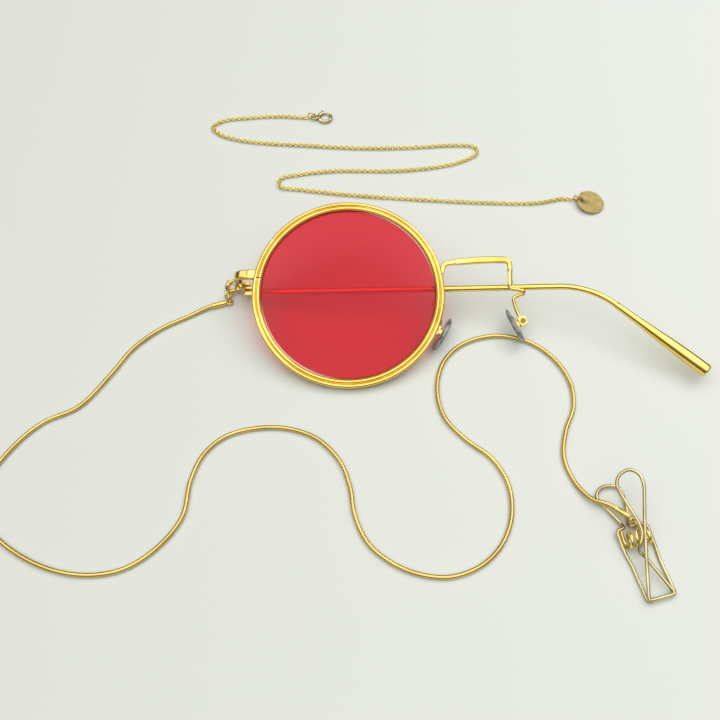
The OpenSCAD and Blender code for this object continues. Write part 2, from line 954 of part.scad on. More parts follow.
snake_flat = [
    [-73.5, -1.2], [-80, -4.9], [-86.6, -11.2], [-91.4, -19.2], [-98, -28.4], [-106, -32.8],
    [-111.5, -38.5], [-116.4, -47.5], [-117.4, -56.4], [-111.8, -63.0], [-103.3, -68.6],
    [-95.5, -71.4], [-88.2, -72.1], [-81.1, -70.6], [-74.4, -65.8], [-69.2, -58.2], [-68.0, -48.6],
    [-65.4, -41.6], [-60.6, -36.9], [-53.5, -34.6], [-45.5, -34.6], [-38.2, -37.3], [-32.4, -43.4],
    [-29.8, -50.3], [-28.7, -57.3], [-25.6, -64.4], [-20.3, -69.1], [-13.9, -71.9], [-6.6, -72.5],
    [0.4, -69.8], [5.4, -64.8], [8.2, -57.8], [8.1, -49.8], [4.8, -43.0], [-1.6, -37.4],
    [-6.4, -31.2], [-7.8, -23.0], [-5.6, -14.9], [-0.2, -9.5], [8.2, -7.1], [16.6, -8.9],
    [22.8, -14.2], [26.2, -21.4], [26.2, -28.4], [23.4, -35.6], [22.2, -42.6], [24.3, -49.6]
];
// the last stretch passes over the handle of the clip
snake_over = [[27.6, -53.9, snake_r + 0.75], [29.8, -54.95, snake_r + 1.3]];
snake_route = concat(
    [snake_start, snake_leave],
    [for (p = snake_flat) [p.x, p.y, snake_r + 0.02]],
    snake_over,
    [snake_arrive, snake_end]);

module snake_chain() {
    color([0.83, 0.68, 0.28])
        tube(snake_route, snake_r, 8);
}

module snake_cap_clip() {
    color([0.85, 0.68, 0.25])
        translate(cap_clip_at)
            rotate([0, 0, cap_clip_turn])
                chain_cap();
}

// wire clip

module at_clip() {
    translate([clip_at.x, clip_at.y, 0])
        rotate([0, 0, clip_turn])
            children();
}

module clip_link() {
    color([0.85, 0.68, 0.25])
        at_clip()
            translate([1.0, cross_y + 0.42, small_link_r + small_link_wire + 0.15])
                rotate([0, 90, 0])
                    wire_ring(small_link_r, small_link_wire);
}

// lower lever: jaw frame and handle in one wire, butted at the jaw bar
module clip_frame() {
    z = wire_r + 0.01;
    color([0.83, 0.75, 0.5])
        at_clip()
            tube(soften([[-butt_gap / 2, -jaw_long, z], [-jaw_half, -jaw_long, z],
                [-jaw_half, -5, z], [-coil_side, -2.6, z], [-coil_side, 2.2, 1.2],
                [-coil_side + 0.3, cross_y, cross_z], [-1.75, cross_y, cross_z],
                [-1.75, cross_y + 1.2, 0.9], [-4.9, 12.3, z + 0.35], [-3.5, 14.2, z + 0.4],
                [-0.9, 14.6, z + 0.4], [1.6, 13.4, z + 0.4], [1.55, 10.6, z + 0.3],
                [0.7, 5.6, z], [-0.35, 4.5, z + 0.1],
                [-0.2, cross_y + 0.15, cross_z - 0.15], [0.55, cross_y, cross_z],
                [coil_side - 0.3, cross_y, cross_z], [coil_side, 2.2, 1.2], [coil_side, -2.6, z],
                [jaw_half, -5, z], [jaw_half, -jaw_long, z], [butt_gap / 2, -jaw_long, z]],
                [for (i = [0:22]) i > 7 && i < 13 ? handle_cut : wire_cut]), wire_r, 8);
}

// double torsion coil: two halves wound outwards from a bight that bears under the lever
coil_span = norm([cross_y, coil_z - cross_z]);
coil_leave = asin(coil_r / coil_span) - atan2(coil_z - cross_z, cross_y);
coil_turns = 1.5 + coil_leave / 360;
coil_pitch = (coil_outer - coil_inner) / coil_turns;
coil_tail = sqrt(coil_span * coil_span - coil_r * coil_r) - wire_r - 0.01;
function coil_point(x, a) = [x, coil_r * sin(a), coil_z - coil_r * cos(a)];
coil_steps = 13;
coil_half = concat(
    [coil_point(coil_outer, coil_leave) + coil_tail * [0, cos(coil_leave), sin(coil_leave)],
        coil_point(coil_outer, coil_leave) + 0.4 * [0, cos(coil_leave), sin(coil_leave)]],
    [for (k = [0:coil_steps])
        let (t = k / coil_steps)
        coil_point(coil_outer - t * (coil_outer - coil_inner), coil_leave - 360 * coil_turns * t)]);
bight_y = 0.4;
bight = [for (a = [15:30:165]) [coil_inner * cos(a), bight_y + coil_inner * sin(a), coil_z + coil_r]];
coil_route = concat(coil_half, bight,
    [for (k = [len(coil_half) - 1:-1:0]) [-coil_half[k].x, coil_half[k].y, coil_half[k].z]]);

// least distance between parts of the coil's wire that aren't neighbours, less its thickness
function fine_route(p, n) = [for (i = [0:len(p) - 2]) for (k = [0:n - 1]) p[i] + (p[i + 1] - p[i]) * k / n];
coil_fine = fine_route(coil_route, 3);
coil_gap = min([for (i = [0:len(coil_fine) - 15]) for (j = [i + 14:len(coil_fine) - 1])
    norm(coil_fine[i] - coil_fine[j])]) - wire_d;

module clip_coil() {
    echo(coil_gap = coil_gap, rings = len(coil_route));
    color([0.85, 0.7, 0.35])
        at_clip()
            tube(coil_route, wire_r, 6);
}

// upper lever: its legs pass over the coil and cross before the jaw corners
module clip_lever() {
    z = 3 * wire_r + 0.03;
    over = coil_z + coil_r + 2 * wire_r + 0.03;
    color([0.83, 0.75, 0.5])
        at_clip()
            tube(soften([[0.3 - butt_gap / 2, -jaw_long, z], [-jaw_half, -jaw_long, z],
                [-0.2, -3.6, over - 0.55], [0.6, -1.2, over + 0.05], [1.6, 1.6, over + 0.25],
                [4.95, 10.2, over + 1.9], [5.1, 12.9, over + 2.2], [3.3, 14.8, over + 2.4],
                [0.3, 14.2, over + 2.3], [-1.45, 12.1, over + 2.1], [-1.0, 9.2, over + 1.6],
                [0.35, 2.8, over + 0.52], [0.5, 0.4, over + 0.1], [-0.55, -1.7, over - 0.3],
                [-1.7, -3.1, over - 1.6], [-0.4, -4.9, over - 2.2], [jaw_half - 0.3, -jaw_long, z],
                [0.3 + butt_gap / 2, -jaw_long, z]],
                [for (i = [0:17]) i > 4 && i < 10 ? handle_cut : wire_cut]), wire_r, 8);
}

// spare chain

module spare_clasp_ring() {
    color([0.85, 0.68, 0.25])
        at_spare()
            clasp_tube(spare_base);
}

module spare_clasp_bolt() {
    color([0.8, 0.65, 0.3])
        at_spare()
            clasp_slider();
}

spare_link_at = [spare_at.x - clasp_loop_out - 0.8, spare_at.y, small_link_r + small_link_wire + 0.01];

module spare_link() {
    color([0.85, 0.68, 0.25])
        translate(spare_link_at)
            rotate([90, 0, 0])
                wire_ring(small_link_r, small_link_wire);
}

tag_turn = -15.4;
tag_drop = 8;
tag_ring_at = [35.32, 39.94, small_link_r + small_link_wire + 0.05];
// the tag's hole sits on the ring's wire, so that its far edge lies on the table
tag_hole_in = 1.15;
tag_hole_z = (tag_d - tag_hole_in) * sin(tag_drop) + tag_t / 2 * cos(tag_drop) + 0.01;
tag_hole_out = sqrt(small_link_r * small_link_r
    - (tag_hole_z - tag_ring_at.z) * (tag_hole_z - tag_ring_at.z));

fine_z = fine_r + 0.02;
fine_end = tag_ring_at - (small_link_r + small_link_wire + 0.02) * ahead_of(tag_turn);
fine_flat = [
    [-53.6, 74.1], [-62.5, 73.3], [-69.2, 72.1], [-72.4, 69.4], [-70.2, 66.4], [-64.6, 64.1],
    [-55.2, 62.6], [-43.5, 61.7], [-26.4, 60.6], [-12.4, 60.9], [1.2, 61.8], [7.0, 61.2],
    [7.7, 58.5], [2.6, 55.1], [-5.5, 52.8], [-17.4, 51.4], [-34.2, 51.4], [-44.9, 50.0],
    [-50.7, 48.2], [-50.9, 45.2], [-44.5, 44.0], [-30.8, 42.1], [-12.1, 40.4], [8.0, 39.1],
    [24.0, 39.0]
];
fine_route_points = concat(
    [[spare_link_at.x - small_link_r - small_link_wire - 0.02, spare_at.y, fine_z]],
    [for (p = fine_flat) [p.x, p.y, fine_z]],
    [[fine_end.x - 3, fine_end.y + 0.25, fine_z], [fine_end.x, fine_end.y, fine_z]]);

module fine_chain() {
    color([0.83, 0.68, 0.28])
        tube(fine_route_points, fine_r, 8);
}

module tag_ring() {
    color([0.85, 0.68, 0.25])
        translate(tag_ring_at)
            rotate([90, 0, tag_turn])
                wire_ring(small_link_r, small_link_wire);
}

module tag() {
    hole_r = 0.6;
    color([0.75, 0.65, 0.4])
        translate([tag_ring_at.x, tag_ring_at.y, tag_hole_z])
            rotate([0, 0, tag_turn])
                translate([tag_hole_out, 0, 0])
                    rotate([0, tag_drop, 0])
                        translate([tag_d / 2 - tag_hole_in, 0, 0])
                            difference() {
                                union() {
                                    translate([0, 0, -tag_t / 2 + 0.08])
                                        cylinder(h = tag_t - 0.16, r = tag_d / 2, $fn = 96);
                                    translate([0, 0, -tag_t / 2])
                                        cylinder(h = tag_t, r = tag_d / 2 - 0.08, $fn = 96);
                                }
                                translate([-tag_d / 2 + tag_hole_in, 0, -1])
                                    cylinder(h = 2, r = hole_r, $fn = 32);
                            }
}

translate(origin_shift) {
    rim();
    lens();
    closing_block();
    rim_screw();
    end_piece();
    front_hinge();
    hinge_screw();
    bridge();
    rim_stub();
    pad_arm_left();
    pad_arm_right();
    pad_box_left();
    pad_box_right();
    pad_screws();
    nose_pad_left();
    nose_pad_right();
    pad_insert_left();
    pad_insert_right();
    temple_hinge();
    temple_bar();
    temple_sleeve();
    chain_eyelet();
    clasp_ring();
    clasp_bolt();
    clasp_link();
    snake_cap_top();
    snake_chain();
    snake_cap_clip();
    clip_link();
    clip_frame();
    clip_coil();
    clip_lever();
    spare_clasp_ring();
    spare_clasp_bolt();
    spare_link();
    fine_chain();
    tag_ring();
    tag();
}
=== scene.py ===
from math import asin, atan2, cos, pi, radians, sin, sqrt

import bmesh
import bpy
from mathutils import Matrix, Vector


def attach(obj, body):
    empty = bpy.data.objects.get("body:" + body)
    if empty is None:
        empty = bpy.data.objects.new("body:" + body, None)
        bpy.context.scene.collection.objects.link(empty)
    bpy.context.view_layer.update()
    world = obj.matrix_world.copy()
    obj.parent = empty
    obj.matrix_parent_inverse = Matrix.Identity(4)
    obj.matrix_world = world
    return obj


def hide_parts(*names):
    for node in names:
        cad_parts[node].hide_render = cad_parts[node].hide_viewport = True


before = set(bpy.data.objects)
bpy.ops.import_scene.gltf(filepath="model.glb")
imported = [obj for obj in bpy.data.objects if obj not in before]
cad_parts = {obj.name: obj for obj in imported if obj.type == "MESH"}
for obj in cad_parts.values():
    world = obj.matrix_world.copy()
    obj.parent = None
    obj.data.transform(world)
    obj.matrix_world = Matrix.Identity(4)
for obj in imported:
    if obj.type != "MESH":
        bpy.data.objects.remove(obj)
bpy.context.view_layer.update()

# Sizes below are in millimetres, as in the part's source; SHIFT brings them to the shared frame.
MM = 0.001
SHIFT = Vector((-0.097, -0.129, 0.0))
TO_FRAME = Matrix.Scale(MM, 4) @ Matrix.Translation(SHIFT)


def at(x, y, z):
    return Matrix.Translation(Vector((x, y, z)))


def turn(degrees, axis):
    return Matrix.Rotation(radians(degrees), 4, axis)


def arc(r, angles, x=0.0, y=0.0):
    """Points on a circle about (x, y), at angles in degrees."""
    return [(x + r * cos(radians(t)), y + r * sin(radians(t))) for t in angles]


# The camera that was fitted to the photo: 58 degrees down, straight along +Y.

CAMERA_AT, CAMERA_TILT = (-0.027497, -0.145009, 0.20913), 32.0
FOCAL_LENGTH, SENSOR_WIDTH = 47.5, 36.0

camera_data = bpy.data.cameras.new("camera")
camera_data.lens = FOCAL_LENGTH
camera_data.sensor_width = SENSOR_WIDTH
camera_data.clip_start = 0.005
camera_data.clip_end = 20.0
camera = bpy.data.objects.new("camera", camera_data)
camera.location = CAMERA_AT
camera.rotation_euler = (radians(CAMERA_TILT), 0.0, 0.0)
bpy.context.scene.collection.objects.link(camera)
bpy.context.scene.camera = camera
bpy.context.scene.view_settings.view_transform = "Standard"

# Sizes and places, the same as in the part's source.

RIM_R, RIM_W, RIM_HALF, EDGE_CUT = 25.0, 2.2, 1.2, 0.15
LENS_T, LENS_MID = 1.5, 0.2
TILT, TEMPLE_FALL = 19.5, 4.2
CLOSE_ANGLE, SPLIT = 10.2, 0.25
KNUCKLE_R, STACK_LOW, STACK_HIGH, MID_LOW, MID_HIGH, PLAY = 1.1, 3.0, 6.3, 4.1, 5.2, 0.05
TEMPLE_V, BLOCK_HALF = 2.4, 0.95
APERTURE = RIM_R - RIM_W
LENS_H = (RIM_R - EDGE_CUT) * sin(radians(TILT)) + RIM_HALF * cos(radians(TILT))
HINGE_AT = Vector((-59.83, 5.56, 3.47))
HINGE_V, REACH = 3.2, 4.4
HINGE_DEEP = (LENS_H + HINGE_V * sin(radians(TILT)) - HINGE_AT.z) / cos(radians(TILT))
LENS_AT = Vector((HINGE_AT.x + RIM_R + REACH,
                  HINGE_AT.y - HINGE_V * cos(radians(TILT)) - HINGE_DEEP * sin(radians(TILT)), LENS_H))
STRAIGHT, EAR_R, EAR_ANGLE, TIP_RUN = 84.4, 22.8, 39.5, 28.4

FRONT = at(*LENS_AT) @ turn(TILT, "X")
HINGE = FRONT @ at(-RIM_R - REACH, 0, -HINGE_DEEP)
TEMPLE = HINGE @ at(0, TEMPLE_V, 0) @ turn(-TEMPLE_FALL, "Y")
PAST_BEND = TEMPLE @ at(STRAIGHT, -EAR_R, 0) @ turn(-EAR_ANGLE, "Z") @ at(0, EAR_R, 0)

CLASP_R, CLASP_TUBE, BOLT_R = 1.85, 0.55, 0.33
CLASP_AT = Vector((HINGE_AT.x - 1.97, HINGE_AT.y + 3.34, 1.09))
LEAN, CLASP_TURN, CLASP_BASE = 16.0, 20.0, 230.0
CLASP = (at(*CLASP_AT) @ Matrix.Rotation(radians(-LEAN), 4, Vector((sin(radians(LEAN)), cos(radians(LEAN)), 0)))
         @ turn(CLASP_TURN, "Z"))
SPARE_AT = Vector((-38.2, 73.5, 0.56))
SPARE_LEAN, SPARE_BASE = 2.8, 181
SPARE = at(*SPARE_AT) @ at(0, 0, CLASP_R * sin(radians(SPARE_LEAN))) @ turn(-1, "Z") @ turn(SPARE_LEAN, "Y")
CLIP = at(36.5, -63.8, 0) @ turn(15.3, "Z")

SMALL_RING = (1.05, 0.25)
SNAKE_R, FINE_R, FINE_Z = 0.6, 0.65, 0.67
CAP_TOP_AT, CAP_TOP_TURN = Vector((-62.421, 3.722, 0.84)), 197.5
CAP_CLIP_AT, CAP_CLIP_TURN = Vector((36.217, -58.974, 1.72)), 144.5

# Routes of the two chains over the table.

SNAKE_FLAT = [
    (-73.5, -1.2), (-80, -4.9), (-86.6, -11.2), (-91.4, -19.2), (-98, -28.4), (-106, -32.8),
    (-111.5, -38.5), (-116.4, -47.5), (-117.4, -56.4), (-111.8, -63.0), (-103.3, -68.6),
    (-95.5, -71.4), (-88.2, -72.1), (-81.1, -70.6), (-74.4, -65.8), (-69.2, -58.2), (-68.0, -48.6),
    (-65.4, -41.6), (-60.6, -36.9), (-53.5, -34.6), (-45.5, -34.6), (-38.2, -37.3), (-32.4, -43.4),
    (-29.8, -50.3), (-28.7, -57.3), (-25.6, -64.4), (-20.3, -69.1), (-13.9, -71.9), (-6.6, -72.5),
    (0.4, -69.8), (5.4, -64.8), (8.2, -57.8), (8.1, -49.8), (4.8, -43.0), (-1.6, -37.4),
    (-6.4, -31.2), (-7.8, -23.0), (-5.6, -14.9), (-0.2, -9.5), (8.2, -7.1), (16.6, -8.9),
    (22.8, -14.2), (26.2, -21.4), (26.2, -28.4), (23.4, -35.6), (22.2, -42.6), (24.3, -49.6)]
SNAKE_ROUTE = ([Vector((-65.616, 2.714, 0.84)), Vector((-67.714, 2.053, 0.84))]
               + [Vector((x, y, SNAKE_R + 0.02)) for x, y in SNAKE_FLAT]
               + [Vector((27.6, -53.9, SNAKE_R + 0.75)), Vector((29.8, -54.95, SNAKE_R + 1.3)),
                  Vector((31.699, -55.751, 1.72)), Vector((33.490, -57.029, 1.72))])
FINE_FLAT = [
    (-53.6, 74.1), (-62.5, 73.3), (-69.2, 72.1), (-72.4, 69.4), (-70.2, 66.4), (-64.6, 64.1),
    (-55.2, 62.6), (-43.5, 61.7), (-26.4, 60.6), (-12.4, 60.9), (1.2, 61.8), (7.0, 61.2),
    (7.7, 58.5), (2.6, 55.1), (-5.5, 52.8), (-17.4, 51.4), (-34.2, 51.4), (-44.9, 50.0),
    (-50.7, 48.2), (-50.9, 45.2), (-44.5, 44.0), (-30.8, 42.1), (-12.1, 40.4), (8.0, 39.1),
    (24.0, 39.0)]
FINE_ROUTE = [Vector((x, y, FINE_Z)) for x, y in
              [(-43.57, 73.5)] + FINE_FLAT + [(31.047, 40.541), (34.047, 40.291)]]


def spline(points, step):
    """Smooth line through the points, one point about every step."""
    p = [points[0] * 2 - points[1]] + list(points) + [points[-1] * 2 - points[-2]]
    out = []
    for i in range(1, len(p) - 2):
        a, b, c, d = p[i - 1], p[i], p[i + 1], p[i + 2]
        t0, t1 = 0.0, (b - a).length ** 0.5
        t2 = t1 + (c - b).length ** 0.5
        t3 = t2 + (d - c).length ** 0.5
        count = max(2, int((c - b).length / step * 1.02) + 1)
        for k in range(count):
            t = t1 + (t2 - t1) * k / count
            a1 = a * ((t1 - t) / (t1 - t0)) + b * ((t - t0) / (t1 - t0))
            a2 = b * ((t2 - t) / (t2 - t1)) + c * ((t - t1) / (t2 - t1))
            a3 = c * ((t3 - t) / (t3 - t2)) + d * ((t - t2) / (t3 - t2))
            b1 = a1 * ((t2 - t) / (t2 - t0)) + a2 * ((t - t0) / (t2 - t0))
            b2 = a2 * ((t3 - t) / (t3 - t1)) + a3 * ((t - t1) / (t3 - t1))
            out.append(b1 * ((t2 - t) / (t2 - t1)) + b2 * ((t - t1) / (t2 - t1)))
    out.append(points[-1].copy())
    return out


def even(points, step):
    """The same line with points at equal distances, and its length."""
    marks = [0.0]
    for a, b in zip(points, points[1:]):
        marks.append(marks[-1] + (b - a).length)
    count = max(2, round(marks[-1] / step))
    out, i = [], 0
    for k in range(count + 1):
        s = marks[-1] * k / count
        while i < len(points) - 2 and marks[i + 1] < s:
            i += 1
        span = marks[i + 1] - marks[i]
        out.append(points[i].lerp(points[i + 1], 0 if span == 0 else min(1.0, (s - marks[i]) / span)))
    return out, marks[-1]


def soften(points, cuts, steps=8):
    """Rounds the corners of a route; cuts is one length or one for each point."""
    pts = [Vector(p) for p in points]
    out = [pts[0]]
    for i in range(1, len(pts) - 1):
        cut = cuts[i] if isinstance(cuts, (list, tuple)) else cuts
        back, ahead = pts[i - 1] - pts[i], pts[i + 1] - pts[i]
        a = pts[i] + back.normalized() * min(cut, back.length * 0.49)
        b = pts[i] + ahead.normalized() * min(cut, ahead.length * 0.49)
        for k in range(steps + 1):
            u = k / steps
            out.append((1 - u) ** 2 * a + 2 * u * (1 - u) * pts[i] + u * u * b)
    out.append(pts[-1])
    return out


# Mesh helpers.

def skin(bm, rings, closed=False):
    """Quads between each ring of points and the next."""
    for a, b in zip(rings, rings[1:] + (rings[:1] if closed else [])):
        for k in range(len(a)):
            bm.faces.new((a[k], a[(k + 1) % len(a)], b[(k + 1) % len(a)], b[k]))


def sweep(bm, path, r, sides=14, closed=False, place=Matrix(), shape=None):
    """Wire along a path; r is one radius or a list, or shape gives it by length and angle."""
    pts = [place @ Vector(p) for p in path]
    n = len(pts)
    dirs = []
    for i in range(n):
        if closed:
            d = (pts[(i + 1) % n] - pts[i]).normalized() + (pts[i] - pts[i - 1]).normalized()
        else:
            d = Vector()
            if i < n - 1:
                d += (pts[i + 1] - pts[i]).normalized()
            if i > 0:
                d += (pts[i] - pts[i - 1]).normalized()
        dirs.append(d.normalized())
    first = Vector((0, 0, 1)) if abs(dirs[0].z) < 0.9 else Vector((1, 0, 0))
    side = (first - first.dot(dirs[0]) * dirs[0]).normalized()
    rings, s = [], 0.0
    for i in range(n):
        d = dirs[i]
        side = (side - side.dot(d) * d).normalized()
        up = d.cross(side)
        if i:
            s += (pts[i] - pts[i - 1]).length
        ring = []
        for k in range(sides):
            a = 2 * pi * k / sides
            if shape:
                rr = shape(s, a)
            else:
                rr = r[i] if isinstance(r, list) else r
            ring.append(bm.verts.new(pts[i] + rr * (cos(a) * side + sin(a) * up)))
        rings.append(ring)
    skin(bm, rings, closed)
    if not closed:
        bm.faces.new(rings[0][::-1])
        bm.faces.new(rings[-1])


def lathe(bm, profile, place, steps=48, start=0.0, sweep_angle=360.0, closed_profile=False):
    """Revolves points (radius, height) about the local Z axis."""
    full = abs(sweep_angle - 360.0) < 1e-6
    count = steps if full else steps + 1
    rings = []
    for k in range(count):
        a = radians(start + sweep_angle * k / steps)
        rings.append([bm.verts.new(place @ Vector((r * cos(a), r * sin(a), z))) for r, z in profile])
    m = len(profile)
    spans = m if closed_profile else m - 1
    for k in range(steps):
        a, b = rings[k], rings[(k + 1) % count]
        for i in range(spans):
            j = (i + 1) % m
            quad = [a[i], b[i], b[j], a[j]]
            if profile[i][0] < 1e-6:
                quad = [a[i], b[j], a[j]]
            elif profile[j][0] < 1e-6:
                quad = [a[i], b[i], a[j]]
            bm.faces.new(quad)
    if not full and closed_profile:
        bm.faces.new(rings[0][::-1])
        bm.faces.new(rings[-1])


def rod_profile(r, h, b, low=0.0):
    """Profile of a cylinder with rounded edges."""
    quarter = (0, 22.5, 45, 67.5, 90)
    foot = arc(b, [t - 90 for t in quarter], r - b, low + b)
    return [(0.0, low)] + foot + arc(b, quarter, r - b, low + h - b) + [(0.0, low + h)]


def rod(bm, place, r, h, b=0.1, steps=36):
    lathe(bm, rod_profile(r, h, b), place, steps)


def torus(bm, place, r, wire, steps, sides):
    sweep(bm, [(x, y, 0) for x, y in arc(r, [360 * k / steps for k in range(steps)])], wire, sides, True, place)


def take(bm, part):
    """Adds a small bmesh to a larger one."""
    mesh = bpy.data.meshes.new("part")
    part.to_mesh(mesh)
    part.free()
    bm.from_mesh(mesh)
    bpy.data.meshes.remove(mesh)


def block(bm, low, high, place, bevel):
    """Box between two corners, with rounded edges."""
    part = bmesh.new()
    size = [high[i] - low[i] for i in range(3)]
    mid = [(high[i] + low[i]) / 2 for i in range(3)]
    bmesh.ops.create_cube(part, size=1.0, matrix=at(*mid) @ Matrix.Diagonal((*size, 1)))
    bmesh.ops.bevel(part, geom=part.edges[:], offset=bevel, segments=3, profile=0.5, affect="EDGES")
    part.transform(place)
    take(bm, part)


def prism(bm, outline, low, high, place, bevel):
    """Outline drawn up along local Z, with its upper and lower edges rounded."""
    part = bmesh.new()
    bottom = [part.verts.new((x, y, low)) for x, y in outline]
    top = [part.verts.new((x, y, high)) for x, y in outline]
    part.faces.new(bottom[::-1])
    part.faces.new(top)
    skin(part, [bottom, top])
    rims = [e for e in part.edges if abs(e.verts[0].co.z - e.verts[1].co.z) < 1e-6]
    bmesh.ops.bevel(part, geom=rims, offset=bevel, segments=3, profile=0.5, affect="EDGES")
    part.transform(place)
    take(bm, part)


def slotted_head(bm, place, r, t, slot, deep):
    """Screw head with a driver slot along local X."""
    lathe(bm, [(0, 0), (r, 0), (r, t - deep), (0, t - deep)], place, 36)
    for sign in (1, -1):
        start = asin(slot / 2 / r)
        angles = [start + (pi - 2 * start) * k / 14 for k in range(15)]
        outline = [(r * cos(a), sign * r * sin(a)) for a in angles]
        if sign < 0:
            outline = outline[::-1]
        prism(bm, outline, t - deep - 0.01, t, place, 0.05)


def piece(name, bm, material, body, node, sharp=38.0):
    """Turns a bmesh into the object that stands for a node; edges sharper than sharp degrees stay hard."""
    bmesh.ops.remove_doubles(bm, verts=bm.verts[:], dist=1e-4)
    bmesh.ops.recalc_face_normals(bm, faces=bm.faces[:])
    for f in bm.faces:
        f.smooth = True
    for e in bm.edges:
        if len(e.link_faces) == 2 and e.calc_face_angle(0.0) > radians(sharp):
            e.smooth = False
    bm.transform(TO_FRAME)
    mesh = bpy.data.meshes.new(name)
    bm.to_mesh(mesh)
    bm.free()
    mesh.materials.append(material)
    ob = bpy.data.objects.new(name, mesh)
    bpy.context.scene.collection.objects.link(ob)
    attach(ob, body)
    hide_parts(node)
    return ob


# Materials.

def node_material(name):
    mat = bpy.data.materials.new(name)
    mat.use_nodes = True
    tree = mat.node_tree
    shader = tree.nodes["Principled BSDF"]
    return mat, tree, shader


def noise(tree, scale, detail):
    coord = tree.nodes.new("ShaderNodeTexCoord")
    tex = tree.nodes.new("ShaderNodeTexNoise")
    tex.inputs["Scale"].default_value = scale
    tex.inputs["Detail"].default_value = detail
    tree.links.new(coord.outputs["Object"], tex.inputs["Vector"])
    return tex.outputs["Fac"]


def ramp(tree, source, stops):
    """Colours by value; stops are pairs of a value and a colour."""
    node = tree.nodes.new("ShaderNodeValToRGB")
    while len(node.color_ramp.elements) < len(stops):
        node.color_ramp.elements.new(0.5)
    for element, (place, colour) in zip(node.color_ramp.elements, stops):
        element.position = place
        element.color = (*colour, 1.0)
    tree.links.new(source, node.inputs["Fac"])
    return node.outputs["Color"]


def spread(tree, source, low, high):
    """Goes from low to high as the source goes from 0 to 1."""
    node = tree.nodes.new("ShaderNodeMapRange")
    node.inputs["To Min"].default_value = low
    node.inputs["To Max"].default_value = high
    tree.links.new(source, node.inputs["Value"])
    return node.outputs["Result"]


def between(tree, source, low, high):
    """Goes from 0 to 1 as the source goes from low to high."""
    node = tree.nodes.new("ShaderNodeMapRange")
    node.inputs["From Min"].default_value = low
    node.inputs["From Max"].default_value = high
    tree.links.new(source, node.inputs["Value"])
    return node.outputs["Result"]


def across(tree, axis, low, high):
    """Goes from 0 to 1 between two places along an axis of the object, in metres."""
    coord = tree.nodes.new("ShaderNodeTexCoord")
    parts = tree.nodes.new("ShaderNodeSeparateXYZ")
    tree.links.new(coord.outputs["Object"], parts.inputs["Vector"])
    return between(tree, parts.outputs[axis], low, high)


def bump(tree, shader, source, strength, distance):
    node = tree.nodes.new("ShaderNodeBump")
    node.inputs["Strength"].default_value = strength
    node.inputs["Distance"].default_value = distance
    tree.links.new(source, node.inputs["Height"])
    tree.links.new(node.outputs["Normal"], shader.inputs["Normal"])


def metal(name, dark, light, rough_low, rough_high, fine=2600.0, coarse=160.0, depth=0.000004, worn=None):
    """Plated metal: slow colour drift, finer roughness patches, a faint polished grain, paler worn edges."""
    mat, tree, shader = node_material(name)
    shader.inputs["Metallic"].default_value = 1.0
    shader.inputs["Coat Weight"].default_value = 0.3
    shader.inputs["Coat Roughness"].default_value = 0.06
    colour = ramp(tree, noise(tree, coarse, 2.0), [(0.3, dark), (0.7, light)])
    if worn:
        geometry = tree.nodes.new("ShaderNodeNewGeometry")
        mix = tree.nodes.new("ShaderNodeMix")
        mix.data_type = "RGBA"
        tree.links.new(between(tree, geometry.outputs["Pointiness"], 0.53, 0.62), mix.inputs["Factor"])
        tree.links.new(colour, mix.inputs["A"])
        mix.inputs["B"].default_value = (*worn, 1.0)
        colour = mix.outputs["Result"]
    tree.links.new(colour, shader.inputs["Base Color"])
    tree.links.new(spread(tree, noise(tree, coarse * 4, 3.0), rough_low, rough_high), shader.inputs["Roughness"])
    bump(tree, shader, noise(tree, fine, 4.0), 0.35, depth)
    return mat


GOLD = metal("gold", (0.80, 0.555, 0.11), (0.94, 0.69, 0.21), 0.08, 0.16, worn=(1.0, 0.84, 0.36))
GOLD_SMALL = metal("gold_small", (0.76, 0.52, 0.10), (0.93, 0.67, 0.20), 0.09, 0.2, worn=(1.0, 0.84, 0.38))
GOLD_HINGE = metal("gold_hinge", (0.46, 0.31, 0.055), (0.92, 0.66, 0.20), 0.06, 0.15, coarse=420.0,
                   worn=(1.0, 0.84, 0.38))
GOLD_SCREW = metal("gold_screw", (0.52, 0.36, 0.10), (0.74, 0.54, 0.18), 0.18, 0.32)
# Pad screws: very dark brown, painted shade of the screw holes in the pad boxes.
PAD_SCREW_PAINTED_SHADE = metal("pad_screw", (0.20, 0.13, 0.035), (0.34, 0.23, 0.07), 0.2, 0.34)
GOLD_EDGE = metal("gold_edge", (0.74, 0.50, 0.095), (0.92, 0.66, 0.19), 0.07, 0.14, worn=(1.0, 0.86, 0.42))
GOLD_SNAKE = metal("gold_snake", (0.62, 0.44, 0.12), (0.80, 0.60, 0.19), 0.18, 0.30, coarse=90.0)
GOLD_FINE = metal("gold_fine", (0.88, 0.70, 0.18), (1.0, 0.86, 0.32), 0.16, 0.28, coarse=90.0)
CLIP_WIRE = metal("clip_wire", (0.46, 0.38, 0.17), (0.68, 0.58, 0.30), 0.12, 0.24, coarse=220.0,
                  worn=(0.92, 0.84, 0.56))
CLIP_SPRING = metal("clip_spring", (0.84, 0.64, 0.17), (0.96, 0.80, 0.32), 0.12, 0.24, coarse=220.0)
TAG_FACE = metal("tag_face", (0.31, 0.225, 0.068), (0.45, 0.34, 0.118), 0.40, 0.56, fine=1500.0, coarse=500.0,
                 depth=0.00002, worn=(0.66, 0.54, 0.28))


# Colours of the lens from its near side, 0, to its far side, 1. Both are paler towards the near side: painted light
# against the shade on the table under that part of the lens.
LENS_FILTER_WITH_PAINTED_LIGHT = [(0.0, (0.965, 0.390, 0.462)), (0.55, (0.97, 0.325, 0.395)), (1.0, (0.95, 0.264, 0.320))]
LENS_SURFACE_WITH_PAINTED_LIGHT = [(0.0, (0.86, 0.190, 0.220)), (0.45, (0.87, 0.200, 0.235)), (0.62, (0.85, 0.15, 0.175)),
                (1.0, (0.80, 0.078, 0.090))]
CLOUDY = 0.14


